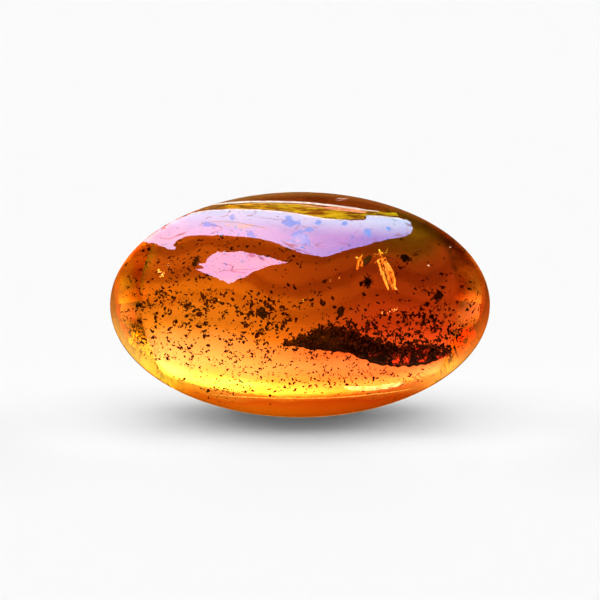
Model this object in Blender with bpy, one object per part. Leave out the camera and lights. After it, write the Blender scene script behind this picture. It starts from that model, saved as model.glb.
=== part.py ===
"""A polished oval of amber with a small winged insect sealed in it, beside a drift of plant debris.

+Z is up and the origin is the centre of the foot that the stone rests on. The long way runs along X,
and the stone is looked at from -Y. All the solid inclusions lie in one layer of resin, so the amber is
parted there, into a front and a back solid with recesses that close round the inclusions as pockets.
"""

import math
import random

import bmesh
import bpy
from mathutils import Vector, noise

MM = 0.001

# Driving dimensions
LENGTH = 32.0 * MM
DEPTH = 22.0 * MM
HEIGHT = 18.9 * MM  # of the whole oval, before the foot is ground flat
FOOT_GROUND = 0.2 * MM  # height taken off the underside, so that the stone stands still
LAYER_Y = -4.0 * MM  # the resin layer that holds the inclusions
GAP = 0.3 * MM  # free space between one solid and the next

OVAL_SEGMENTS = 56
OVAL_RINGS = 28
CENTRE = Vector((0, 0, HEIGHT / 2 - FOOT_GROUND))

# The winged insect: its own frame has +Z towards the head, -Y on its back, and its origin in the thorax
INSECT_AT = Vector((6.35 * MM, LAYER_Y, 12.74 * MM))
INSECT_LEAN = math.radians(-16)
WING_WIDTH = 0.6 * MM
WING_THICK = 0.05 * MM
WING_CAMBER = 0.06 * MM
LEG_RADIUS = 0.035 * MM
FEELER_RADIUS = 0.022 * MM

# The bits beside it
HUSK_AT = Vector((5.02 * MM, LAYER_Y, 12.62 * MM))
HUSK_LEAN = math.radians(47)
TUFT_AT = Vector((5.08 * MM, LAYER_Y, 11.17 * MM))
TUFT_CORE = 0.2 * MM
TUFT_REACH = 0.62 * MM

# The drift of debris, as x, lower edge, upper edge and half depth in millimetres
DRIFT_PROFILE = (
    (-1.30, 7.36, 7.50, 0.10),
    (-0.60, 7.22, 7.58, 0.25),
    (0.40, 7.06, 7.78, 0.40),
    (1.10, 7.00, 8.24, 0.55),
    (2.60, 6.94, 8.46, 0.70),
    (3.60, 6.86, 8.30, 0.75),
    (4.80, 6.50, 7.94, 0.75),
    (6.00, 6.10, 7.60, 0.70),
    (7.60, 5.94, 7.34, 0.62),
    (10.00, 5.86, 7.26, 0.55),
    (11.20, 5.86, 6.90, 0.42),
    (12.00, 6.10, 6.50, 0.20),
)
DRIFT_STATIONS = 38
DRIFT_SIDES = 14
DRIFT_LUMPS = 0.13 * MM  # how far its skin is roughened

# Larger loose flakes of bark: x and z of the middle, width and height in millimetres, lean in degrees
BARK_FLAKES = (
    (-8.02, 12.68, 0.42, 0.82, 22),
    (-2.82, 9.25, 0.55, 0.62, -10),
    (10.60, 10.34, 0.85, 0.46, -24),
    (3.02, 9.34, 0.50, 0.72, 30),
    (8.14, 12.96, 0.74, 0.56, 12),
)
BARK_THICK = 0.18 * MM
BARK_BOW = 0.06 * MM

# The recess round the insect, the husk and the tuft
NEST_AT = Vector((5.78 * MM, LAYER_Y, 12.16 * MM))
NEST_RADII = (2.12 * MM, 0.92 * MM, 2.2 * MM)


def at(x, y, z):
    return Vector((x, y, z)) * MM


def clear_scene():
    for obj in list(bpy.data.objects):
        bpy.data.objects.remove(obj, do_unlink=True)


def material(name, colour, roughness, transmission=0.0):
    made = bpy.data.materials.new(name)
    made.use_nodes = True
    shader = made.node_tree.nodes["Principled BSDF"]
    shader.inputs["Base Color"].default_value = (*colour, 1)
    shader.inputs["Roughness"].default_value = roughness
    shader.inputs["Metallic"].default_value = 0
    shader.inputs["Transmission Weight"].default_value = transmission
    shader.inputs["IOR"].default_value = 1.54
    made.diffuse_color = (*colour, 1)
    return made


def new_object(name, mesh, finish=None, parent=None, collection=None):
    obj = bpy.data.objects.new(name, mesh)
    (collection or bpy.context.scene.collection).objects.link(obj)
    obj.parent = parent
    if finish:
        mesh.materials.append(finish)
    return obj


def mesh_from(name, bm, smooth=True):
    bmesh.ops.recalc_face_normals(bm, faces=bm.faces)
    if bm.calc_volume(signed=True) < 0:
        bmesh.ops.reverse_faces(bm, faces=bm.faces)
    mesh = bpy.data.meshes.new(name)
    bm.to_mesh(mesh)
    bm.free()
    if smooth:
        mesh.shade_smooth()
    return mesh


def rounded_mesh(name, radii, segments, rings, squareness=1.0, centre=(0, 0, 0)):
    """A ball drawn out to three radii. Squareness under 1 swells it towards its box."""
    bm = bmesh.new()
    bmesh.ops.create_uvsphere(bm, u_segments=segments, v_segments=rings, radius=1)
    for vertex in bm.verts:
        swollen = [math.copysign(abs(c) ** squareness, c) for c in vertex.co]
        vertex.co = Vector(c * r for c, r in zip(swollen, radii)) + Vector(centre)
    return mesh_from(name, bm)


def loft_mesh(name, rings):
    """A closed skin over rings that have the same number of points, capped at both ends."""
    bm = bmesh.new()
    loops = [[bm.verts.new(point) for point in ring] for ring in rings]
    for first, second in zip(loops, loops[1:]):
        for i in range(len(first)):
            j = (i + 1) % len(first)
            bm.faces.new((first[i], first[j], second[j], second[i]))
    bm.faces.new(loops[0])
    bm.faces.new(loops[-1])
    bmesh.ops.triangulate(bm, faces=[face for face in bm.faces if len(face.verts) > 4])
    return mesh_from(name, bm)


def tube_mesh(name, points, start_radius, end_radius, sides=6):
    """A tapered tube along the points, such as a leg."""
    rings = []
    for i, point in enumerate(points):
        ahead = points[min(i + 1, len(points) - 1)] - points[max(i - 1, 0)]
        turn = ahead.to_track_quat("Z", "Y").to_matrix()
        share = i / (len(points) - 1)
        radius = start_radius + (end_radius - start_radius) * share
        rings.append([
            point + turn @ Vector((math.cos(a), math.sin(a), 0)) * radius
            for a in (2 * math.pi * k / sides for k in range(sides))
        ])
    return loft_mesh(name, rings)


def bowed(start, middle, end, steps=6):
    """Points on a smooth bend from start, by way of middle, to end."""
    control = middle * 2 - (start + end) / 2
    ways = [i / steps for i in range(steps + 1)]
    return [start * (1 - t) ** 2 + control * 2 * t * (1 - t) + end * t * t for t in ways]


def cut(obj, cutter):
    modifier = obj.modifiers.new("cut_" + cutter.name, "BOOLEAN")
    modifier.operation = "DIFFERENCE"
    modifier.solver = "EXACT"
    modifier.object = cutter


def helper(obj):
    """A cutter or a piece that is only joined into another: not a solid of its own."""
    obj.hide_render = True
    obj.display_type = "WIRE"
    return obj


def box_cutter(name, low, high):
    bm = bmesh.new()
    bmesh.ops.create_cube(bm, size=1)
    for vertex in bm.verts:
        vertex.co = Vector(
            low[i] if vertex.co[i] < 0 else high[i] for i in range(3)
        )
    return helper(new_object(name, mesh_from(name, bm, smooth=False)))


def wing_mesh(name, root, tip, chord, width, camber):
    """A thin, slightly hollow blade from root to tip, rounded at its end."""
    stations, strips = 10, 3
    along = tip - root
    chord = chord.normalized()
    face_out = along.cross(chord).normalized()
    bm = bmesh.new()
    sheets = []
    for side in (-0.5, 0.5):
        sheet = []
        for i in range(stations + 1):
            t = 0.03 + 0.965 * i / stations
            spread = (0.35 + 0.65 * min(1, t / 0.4)) * math.sqrt(1 - t**5)
            sweep = 0.12 * width * math.sin(math.pi * t)
            row = []
            for j in range(strips + 1):
                s = j / strips - 0.5
                bow = camber * (1 - 4 * s * s) * spread + side * WING_THICK
                row.append(bm.verts.new(
                    root + along * t + chord * (s * width * spread + sweep) + face_out * bow
                ))
            sheet.append(row)
        sheets.append(sheet)
    near, far = sheets
    for sheet in sheets:
        for i in range(stations):
            for j in range(strips):
                bm.faces.new((sheet[i][j], sheet[i][j + 1], sheet[i + 1][j + 1], sheet[i + 1][j]))
    rim = [(0, j) for j in range(strips)] + [(i, strips) for i in range(stations)]
    rim += [(stations, j) for j in range(strips, 0, -1)] + [(i, 0) for i in range(stations, 0, -1)]
    for (a, b), (c, d) in zip(rim, rim[1:] + rim[:1]):
        bm.faces.new((near[a][b], near[c][d], far[c][d], far[a][b]))
    return mesh_from(name, bm)


def limb_paths():
    """Three legs and a feeler on each side, as places in the insect's own frame in millimetres."""
    legs = [
        ((0.12, 0.16, 0.22), (0.42, 0.34, 0.42), (0.62, 0.20, 0.66)),
        ((0.14, 0.18, 0.02), (0.56, 0.40, 0.04), (0.80, 0.24, -0.22)),
        ((0.13, 0.18, -0.16), (0.50, 0.42, -0.42), (0.78, 0.28, -0.92)),
    ]
    feeler = ((0.05, -0.05, 0.58), (0.34, -0.16, 0.82), (0.60, -0.22, 0.38))
    return legs, feeler


def build_insect(finish):
    """Head, thorax, abdomen, four folded wings, legs and feelers, joined as the one creature."""
    place = bpy.data.objects.new("insect_place", None)
    bpy.context.scene.collection.objects.link(place)
    place.location = INSECT_AT
    place.rotation_euler = (0, INSECT_LEAN, 0)

    limbs = bpy.data.collections.new("insect_limbs")
    limbs.hide_render = True
    bpy.context.scene.collection.children.link(limbs)

    def joined(name, mesh):
        helper(new_object(name, mesh, parent=place, collection=limbs))

    joined("abdomen", rounded_mesh("abdomen", at(0.22, 0.20, 0.78), 12, 9, 1.0, at(0.03, 0.05, -0.82)))
    joined("head", rounded_mesh("head", at(0.20, 0.18, 0.19), 12, 8, 1.0, at(0.0, 0.0, 0.50)))
    joined("face", tube_mesh("face", [at(0.01, -0.02, z) for z in (0.56, 0.76, 0.91)], 0.13 * MM, 0.03 * MM, 8))
    legs, feeler = limb_paths()
    for side, word in ((-1, "left"), (1, "right")):
        eye = rounded_mesh("eye", at(0.10, 0.11, 0.12), 8, 6, 1.0, at(side * 0.16, -0.04, 0.52))
        joined(word + "_eye", eye)
        shoulder = rounded_mesh("shoulder", at(0.17, 0.12, 0.16), 8, 6, 1.0, at(side * 0.27, -0.08, 0.08))
        joined(word + "_shoulder", shoulder)
        for number, path in enumerate(legs, 1):
            points = bowed(*(at(side * x, y, z) for x, y, z in path), steps=4)
            name = f"{word}_leg_{number}"
            joined(name, tube_mesh(name, points, LEG_RADIUS, LEG_RADIUS / 2))
        points = bowed(*(at(side * x, y, z) for x, y, z in feeler))
        joined(word + "_feeler", tube_mesh("feeler", points, FEELER_RADIUS, FEELER_RADIUS / 2, 5))

    # The wings lie roofwise over the back: the right one faces the front, the left one is seen on edge
    forewings = (
        ("right_wing", at(0.16, -0.20, 0.10), at(0.22, -0.22, -2.14), Vector((0.9, 0.42, 0)), 1.0),
        ("left_wing", at(-0.38, -0.08, 0.12), at(-0.24, -0.14, -2.06), Vector((-0.55, 0.83, 0)), 1.0),
    )
    hindwings = (
        ("right_hindwing", at(0.14, -0.02, -0.02), at(0.24, 0.02, -1.86), Vector((0.8, 0.60, 0)), 0.82),
        ("left_hindwing", at(-0.22, 0.02, -0.02), at(-0.10, 0.05, -1.78), Vector((-0.45, 0.89, 0)), 0.82),
    )
    for name, root, tip, chord, share in forewings + hindwings:
        joined(name, wing_mesh(name, root, tip, chord, WING_WIDTH * share, WING_CAMBER * share))

    thorax = new_object("winged_insect", rounded_mesh("thorax", at(0.27, 0.25, 0.36), 14, 9), finish, place)
    join = thorax.modifiers.new("join_limbs", "BOOLEAN")
    join.operation = "UNION"
    join.solver = "EXACT"
    join.operand_type = "COLLECTION"
    join.collection = limbs
    join.use_self = True


def build_husk(finish):
    """A dark seed husk with its pale, bent stalk."""
    body = rounded_mesh("husk", (0.21 * MM, 0.17 * MM, 0.58 * MM), 12, 9)
    for vertex in body.vertices:
        groove = math.exp(-((vertex.co.x / (0.07 * MM)) ** 2))
        if vertex.co.y < 0:
            vertex.co.y *= 1 - 0.35 * groove
    husk = new_object("seed_husk", body, finish)
    husk.location = HUSK_AT
    husk.rotation_euler = (0, HUSK_LEAN, 0)
    stalk_points = bowed(
        HUSK_AT + at(-0.16, 0.02, 0.50),
        HUSK_AT + at(-0.44, -0.06, 0.06),
        HUSK_AT + at(-0.70, 0.02, -0.60),
    )
    stalk = helper(new_object("stalk", tube_mesh("stalk", stalk_points, 0.05 * MM, 0.09 * MM, 7)))
    bridge_points = [HUSK_AT + at(-0.45, -0.06, 0.06), HUSK_AT + at(-0.05, 0.0, -0.06)]
    bridge = helper(new_object("stalk_bridge", tube_mesh("bridge", bridge_points, 0.05 * MM, 0.06 * MM, 6)))
    for part in (stalk, bridge):
        join = husk.modifiers.new("join_" + part.name, "BOOLEAN")
        join.operation = "UNION"
        join.solver = "EXACT"
        join.object = part


def build_tuft(finish):
    """A star-shaped tuft of plant hair: spikes drawn out of a small core."""
    rand = random.Random(4)
    bm = bmesh.new()
    bmesh.ops.create_icosphere(bm, subdivisions=2, radius=TUFT_CORE)
    bm.faces.ensure_lookup_table()
    grown = []
    for face in bm.faces:
        out = face.calc_center_median().normalized()
        near_a_spike = any(out.angle(other) < math.radians(38) for other in grown)
        if abs(out.y) > 0.55 or near_a_spike:
            continue
        grown.append(out)
        top = bmesh.ops.extrude_discrete_faces(bm, faces=[face])["faces"][0]
        reach = TUFT_REACH * rand.uniform(0.7, 1.0)
        tip = out * reach + Vector((0, rand.uniform(-0.1, 0.1) * MM, 0))
        middle = top.calc_center_median()
        for vertex in top.verts:
            vertex.co = tip + (vertex.co - middle) * 0.22
    tuft = new_object("hair_tuft", mesh_from("hair_tuft", bm), finish)
    tuft.location = TUFT_AT


def drift_profile(x):
    """Lower edge, upper edge and half depth of the debris drift at x, all in millimetres."""
    for before, after in zip(DRIFT_PROFILE, DRIFT_PROFILE[1:]):
        if x <= after[0]:
            t = (x - before[0]) / (after[0] - before[0])
            t = t * t * (3 - 2 * t)
            return tuple(a + (b - a) * t for a, b in zip(before[1:], after[1:]))
    return DRIFT_PROFILE[-1][1:]


def drift_rings(stations, sides, grow, lumps):
    """Rings round the drift, which runs along X. Lumps roughen the skin, most of all on top."""
    first, last = DRIFT_PROFILE[0][0], DRIFT_PROFILE[-1][0]
    rings = []
    for i in range(stations):
        x = first + (last - first) * i / (stations - 1)
        low, high, depth = drift_profile(x)
        x_out = x + (grow / MM) * (2 * i / (stations - 1) - 1)
        ring = []
        for k in range(sides):
            angle = 2 * math.pi * k / sides
            across, rise = math.cos(angle), math.sin(angle)
            point = Vector((
                x_out * MM,
                LAYER_Y + across * (depth * MM + grow),
                (low + high) / 2 * MM + rise * ((high - low) / 2 * MM + grow),
            ))
            rough = noise.noise(point / (0.42 * MM)) + 0.5 * noise.noise(point / (0.19 * MM))
            out = Vector((0, across, rise))
            share = 0.55 + 0.45 * max(0, rise)
            ring.append(point + out * rough * lumps * share)
        rings.append(ring)
    return rings


def build_drift(finish):
    """The dark drift of plant crumbs, matted together low down on the right."""
    rings = drift_rings(DRIFT_STATIONS, DRIFT_SIDES, 0, DRIFT_LUMPS)
    new_object("debris_drift", loft_mesh("debris_drift", rings), finish)


def build_flake(name, x, z, width, height, lean, finish):
    """A thin, angular chip with an uneven edge and a slight bow."""
    rand = random.Random(name)
    corners = 9
    outline = []
    for k in range(corners):
        angle = 2 * math.pi * k / corners
        reach = rand.uniform(0.72, 1.08) / 2
        outline.append((math.cos(angle) * width * MM * reach, math.sin(angle) * height * MM * reach))
    levels = (
        (0.45, -BARK_THICK / 2 - BARK_BOW),
        (0.86, -BARK_THICK / 2),
        (1.0, 0),
        (0.80, BARK_THICK / 2),
    )
    rings = [[Vector((x_out * share, y, z_out * share)) for x_out, z_out in outline] for share, y in levels]
    flake = new_object(name, loft_mesh(name, rings), finish)
    flake.location = (x * MM, LAYER_Y, z * MM)
    flake.rotation_euler = (0, math.radians(lean), 0)


def pocket_cutters():
    """What the recesses are cut with: each clears its inclusion by at least the gap."""
    nest = helper(new_object("nest", rounded_mesh("nest", NEST_RADII, 20, 10, 0.7)))
    nest.location = NEST_AT
    drift = loft_mesh("drift_pocket", drift_rings(18, 12, GAP + DRIFT_LUMPS * 1.2, 0))
    cutters = [nest, helper(new_object("drift_pocket", drift))]
    for number, (x, z, width, height, lean) in enumerate(BARK_FLAKES, 1):
        radii = (width / 2 * MM + GAP * 1.3, BARK_THICK / 2 + GAP * 1.6, height / 2 * MM + GAP * 1.3)
        name = f"bark_pocket_{number}"
        hollow = helper(new_object(name, rounded_mesh(name, radii, 12, 8, 0.85)))
        hollow.location = (x * MM, LAYER_Y, z * MM)
        hollow.rotation_euler = (0, math.radians(lean), 0)
        cutters.append(hollow)
    return cutters


def build_amber(name, towards_front, pockets, foot, finish):
    """One side of the parted stone."""
    radii = (LENGTH / 2, DEPTH / 2, HEIGHT / 2)
    amber = new_object(name, rounded_mesh(name, radii, OVAL_SEGMENTS, OVAL_RINGS), finish)
    amber.location = CENTRE
    far = LENGTH
    if towards_front:
        low, high = (-far, LAYER_Y - GAP / 2, -far), (far, far, far)
    else:
        low, high = (-far, -far, -far), (far, LAYER_Y + GAP / 2, far)
    cut(amber, foot)
    cut(amber, box_cutter(name + "_parting", low, high))
    for pocket in pockets:
        cut(amber, pocket)


def build():
    clear_scene()
    amber = material("amber", (0.86, 0.30, 0.02), 0.05, 1.0)
    golden = material("golden_brown_wing", (0.72, 0.40, 0.10), 0.45)
    husk = material("dark_husk", (0.09, 0.06, 0.02), 0.6)
    debris = material("dark_debris", (0.05, 0.03, 0.01), 0.8)

    build_insect(golden)
    build_husk(husk)
    build_tuft(debris)
    build_drift(debris)
    for number, flake in enumerate(BARK_FLAKES, 1):
        build_flake(f"bark_flake_{number}", *flake, debris)

    pockets = pocket_cutters()
    foot = box_cutter("foot_plane", (-LENGTH, -LENGTH, -LENGTH), (LENGTH, LENGTH, 0))
    build_amber("amber_front", True, pockets, foot, amber)
    build_amber("amber_back", False, pockets, foot, amber)


build()
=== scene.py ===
# A small winged insect in a polished oval of amber, with the plant debris that the resin caught beside it
import math
import random

import bmesh
import bpy
from mathutils import Matrix, Vector, noise
from mathutils.geometry import delaunay_2d_cdt


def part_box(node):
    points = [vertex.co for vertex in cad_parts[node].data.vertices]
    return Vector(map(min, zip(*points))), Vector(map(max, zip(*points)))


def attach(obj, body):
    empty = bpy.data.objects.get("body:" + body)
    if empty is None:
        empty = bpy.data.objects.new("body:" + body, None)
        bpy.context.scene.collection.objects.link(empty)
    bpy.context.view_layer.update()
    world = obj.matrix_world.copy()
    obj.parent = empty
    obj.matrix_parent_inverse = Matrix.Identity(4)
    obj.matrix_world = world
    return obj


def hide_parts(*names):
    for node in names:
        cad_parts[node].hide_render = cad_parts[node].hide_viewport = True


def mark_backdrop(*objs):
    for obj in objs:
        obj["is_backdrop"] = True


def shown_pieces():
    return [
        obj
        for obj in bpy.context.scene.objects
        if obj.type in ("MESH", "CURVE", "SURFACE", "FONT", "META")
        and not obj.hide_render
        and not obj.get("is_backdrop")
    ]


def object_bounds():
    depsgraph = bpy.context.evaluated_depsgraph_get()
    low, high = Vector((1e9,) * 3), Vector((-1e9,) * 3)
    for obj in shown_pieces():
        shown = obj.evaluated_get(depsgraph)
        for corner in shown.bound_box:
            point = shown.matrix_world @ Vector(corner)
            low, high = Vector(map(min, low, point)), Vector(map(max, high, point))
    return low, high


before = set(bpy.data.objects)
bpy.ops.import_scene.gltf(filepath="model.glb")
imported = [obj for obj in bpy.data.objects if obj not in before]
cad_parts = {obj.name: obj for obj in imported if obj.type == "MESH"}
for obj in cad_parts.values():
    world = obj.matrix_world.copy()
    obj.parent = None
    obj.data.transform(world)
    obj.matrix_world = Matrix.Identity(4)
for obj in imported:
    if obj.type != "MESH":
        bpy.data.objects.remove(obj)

mm = 0.001
cadLow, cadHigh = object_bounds()
scene = bpy.context.scene
print("frame loaded:", len(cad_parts), "solids")

# The stone's own sizes come from the frame: an oval with its underside ground flat
footGround = 0.2 * mm
halfLength = (cadHigh.x - cadLow.x) / 2
halfDepth = (cadHigh.y - cadLow.y) / 2
halfHeight = (cadHigh.z - cadLow.z + footGround) / 2
stoneMiddle = Vector((0, 0, halfHeight - footGround))
halfAxes = Vector((halfLength, halfDepth, halfHeight))
layerY = (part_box("winged_insect")[0].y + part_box("winged_insect")[1].y) / 2
amberIor = 1.54

# How the photograph was taken, in its own pixels
photo = {
    "size": 600,
    "middle": (300, 304.5),     # where the stone's middle lies
    "focal": 3560.1,            # focal length in pixels
    "elevation": math.radians(9),
    "distance": 300 * mm,
}


def shareOfAxes(vector):
    return Vector(value / axis for value, axis in zip(vector, halfAxes))


def cameraStart():
    turn = photo["elevation"]
    return stoneMiddle + Vector((0, -math.cos(turn), math.sin(turn))) * photo["distance"]


def cameraRay(x, y):
    ahead = (stoneMiddle - cameraStart()).normalized()
    right = Vector((1, 0, 0))
    up = right.cross(ahead)
    sideways, upwards = x - photo["middle"][0], photo["middle"][1] - y
    return (ahead * photo["focal"] + right * sideways + up * upwards).normalized()


def meetsStone(start, direction):
    near, along = shareOfAxes(start - stoneMiddle), shareOfAxes(direction)
    a, b, c = along.dot(along), 2 * near.dot(along), near.dot(near) - 1
    inside = b * b - 4 * a * c
    return None if inside < 0 else (-b - math.sqrt(inside)) / (2 * a)


def skinAt(x, y):
    # the place on the stone that a pixel shows, and the way its skin faces
    direction = cameraRay(x, y)
    reach = meetsStone(cameraStart(), direction)
    if reach is None:
        raise ValueError(f"pixel {x}, {y} is beside the stone")
    place = cameraStart() + direction * reach
    facing = shareOfAxes(shareOfAxes(place - stoneMiddle)).normalized()
    return place, facing, direction


def placeInside(x, y, depth):
    # where the bent ray through a pixel crosses the upright plane at that depth
    place, facing, direction = skinAt(x, y)
    towards = -direction.dot(facing)
    bend = 1 / amberIor
    onwards = math.sqrt(1 - bend * bend * (1 - towards * towards))
    inner = direction * bend + facing * (bend * towards - onwards)
    return place + inner * ((depth - place.y) / inner.y)


def placeMirrored(x, y, reach):
    # what a pixel's ray meets that far off after it has glanced off the stone
    place, facing, direction = skinAt(x, y)
    return place + (direction - facing * 2 * direction.dot(facing)) * reach


# Node helpers
def newMaterial(name):
    material = bpy.data.materials.new(name)
    material.use_nodes = True
    tree = material.node_tree
    shader = tree.nodes["Principled BSDF"]
    return material, tree, shader


def addNode(tree, kind, values=None, **settings):
    node = tree.nodes.new(kind)
    for name, value in settings.items():
        setattr(node, name, value)
    for socket, value in (values or {}).items():
        if isinstance(value, bpy.types.NodeSocket):
            tree.links.new(value, node.inputs[socket])
        else:
            node.inputs[socket].default_value = value
    return node


def objectPlace(tree):
    # the place on the piece, in millimetres
    texture = addNode(tree, "ShaderNodeTexCoord")
    scaled = addNode(tree, "ShaderNodeVectorMath", {0: texture.outputs["Object"]}, operation="SCALE")
    scaled.inputs["Scale"].default_value = 1 / mm
    return scaled.outputs["Vector"]


def noiseOf(tree, place, scale, detail=3.0, rough=0.55, twist=0.0):
    node = addNode(tree, "ShaderNodeTexNoise", {"Vector": place, "Scale": scale, "Detail": detail,
                                                "Roughness": rough, "Distortion": twist})
    return node.outputs["Fac"]


def spread(tree, value, low, high, toLow=0.0, toHigh=1.0, smooth=True):
    node = addNode(tree, "ShaderNodeMapRange", {"Value": value, "From Min": low, "From Max": high,
                                                "To Min": toLow, "To Max": toHigh})
    node.interpolation_type = "SMOOTHSTEP" if smooth else "LINEAR"
    return node.outputs["Result"]


def maths(tree, operation, first, second=None):
    node = addNode(tree, "ShaderNodeMath", {0: first}, operation=operation)
    if isinstance(second, bpy.types.NodeSocket):
        tree.links.new(second, node.inputs[1])
    elif second is not None:
        node.inputs[1].default_value = second
    return node.outputs[0]


def times(tree, *values):
    result = values[0]
    for value in values[1:]:
        result = maths(tree, "MULTIPLY", result, value)
    return result


def scaledBy(tree, colour, share):
    node = addNode(tree, "ShaderNodeVectorMath", {0: colour}, operation="SCALE")
    tree.links.new(share, node.inputs["Scale"])
    return node.outputs[0]


def summed(tree, first, second):
    return addNode(tree, "ShaderNodeVectorMath", {0: first, 1: second}, operation="ADD").outputs[0]


def mixed(tree, share, first, second, blend="MIX"):
    node = addNode(tree, "ShaderNodeMix", data_type="RGBA", blend_type=blend)
    for socket, value in ((0, share), (6, first), (7, second)):
        if isinstance(value, bpy.types.NodeSocket):
            tree.links.new(value, node.inputs[socket])
        else:
            node.inputs[socket].default_value = value if socket == 0 else (*value, 1)
    return node.outputs[2]


def ramp(tree, value, stops):
    node = addNode(tree, "ShaderNodeValToRGB", {"Fac": value})
    band = node.color_ramp
    while len(band.elements) < len(stops):
        band.elements.new(0.5)
    for element, (position, colour) in zip(band.elements, stops):
        element.position = position
        element.color = (*colour, 1)
    return node.outputs["Color"]


def bumped(tree, shader, height, strength, distance):
    node = addNode(tree, "ShaderNodeBump", {"Height": height, "Strength": strength, "Distance": distance})
    tree.links.new(node.outputs["Normal"], shader.inputs["Normal"])


# Mesh helpers
def meshObject(name, bm, material, smooth=True):
    bmesh.ops.recalc_face_normals(bm, faces=bm.faces)
    mesh = bpy.data.meshes.new(name)
    bm.to_mesh(mesh)
    bm.free()
    if smooth:
        mesh.shade_smooth()
    mesh.materials.append(material)
    piece = bpy.data.objects.new(name, mesh)
    scene.collection.objects.link(piece)
    return piece


def finished(piece, slot, *nodes):
    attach(piece, "root")
    if nodes:
        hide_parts(*nodes)
    return piece


# The amber: one clear piece in place of the two parted solids
amber = {
    "absorbs": (0.969, 0.71, 0.0),       # what the volume lets through of red, green and blue
    "density": 90.0,                     # per metre
    # tint of the front by height in mm, at the left end and at the right: partly the amber's own colour,
    # partly painted shade, the dark crescent under the bright band and the darker top
    "left": [(0.9, (0.95, 0.10, 0.0003)), (1.5, (0.90, 0.07, 0.0004)), (1.9, (0.80, 0.045, 0.0005)),
             (2.4, (0.95, 0.14, 0.004)), (4, (1.0, 0.25, 0.03)), (5.5, (1.0, 0.31, 0.18)),
             (7, (1.0, 0.27, 0.14)), (8.5, (1.0, 0.19, 0.006)), (11, (0.97, 0.135, 0.001)),
             (13.2, (0.44, 0.030, 0.0005)), (17, (0.32, 0.022, 0.0005))],
    "right": [(0.9, (0.75, 0.05, 0.0002)), (1.5, (0.65, 0.035, 0.0002)), (1.9, (0.60, 0.022, 0.0003)),
              (2.4, (0.85, 0.09, 0.004)), (4, (1.0, 0.13, 0.04)), (5.5, (1.0, 0.17, 0.16)),
              (6.5, (0.85, 0.055, 0.02)), (8.5, (0.60, 0.018, 0.004)), (11, (0.26, 0.011, 0.001)),
              (13.5, (0.13, 0.0085, 0.001)), (17, (0.10, 0.022, 0.0006))],
    "backLeft": (1.0, 0.75, 0.40),
    "backRight": (0.75, 0.30, 0.12),
    # painted shade in brown at the crown, and olive at the upper right, its darkness partly painted shade
    "crownPaintedShade": (0.10, 0.012, 0.002),
    "oliveAndPaintedShade": (0.06, 0.05, 0.0006),
    "veilColour": (0.42, 0.26, 0.20),
    "flowScale": 0.16,
    # painted shade on the upper ends, which pass on light from far aside
    "leftEndPaintedShade": (0.26, 1.0, 0.60),
    "rightEndPaintedShade": (0.30, 0.46, 0.50),
    # parts of the front with painted light on the shoulder and painted shade at the ends: where each begins
    #     # and is full, along the stone and upwards, where it fades again above, and the tint, which
    #     multiplies
    "zones": {
        "shoulderPaintedLight": ((-11.6, -13.6), (12.3, 14.2), None, (1.6, 8.0, 2.0)),
        "orangeEndPaintedShade": ((-12.9, -13.8), (8.0, 8.9), (12.2, 11.0), (0.92, 0.30, 1.0)),
        "redLowEndPaintedShade": ((12.4, 13.4), (4.6, 5.4), (9.0, 8.0), (0.75, 0.16, 0.06)),
    },
    # painted shade along the rim at the upper right
    "rightRim": (0.15, 0.13, 0.05),
    "polishDepth": 0.05 * mm,
}


def heightRamp(tree, z, stops):
    tallest = 19.0
    shares = [(height / tallest, colour) for height, colour in stops]
    return ramp(tree, maths(tree, "DIVIDE", z, tallest), shares)


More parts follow.
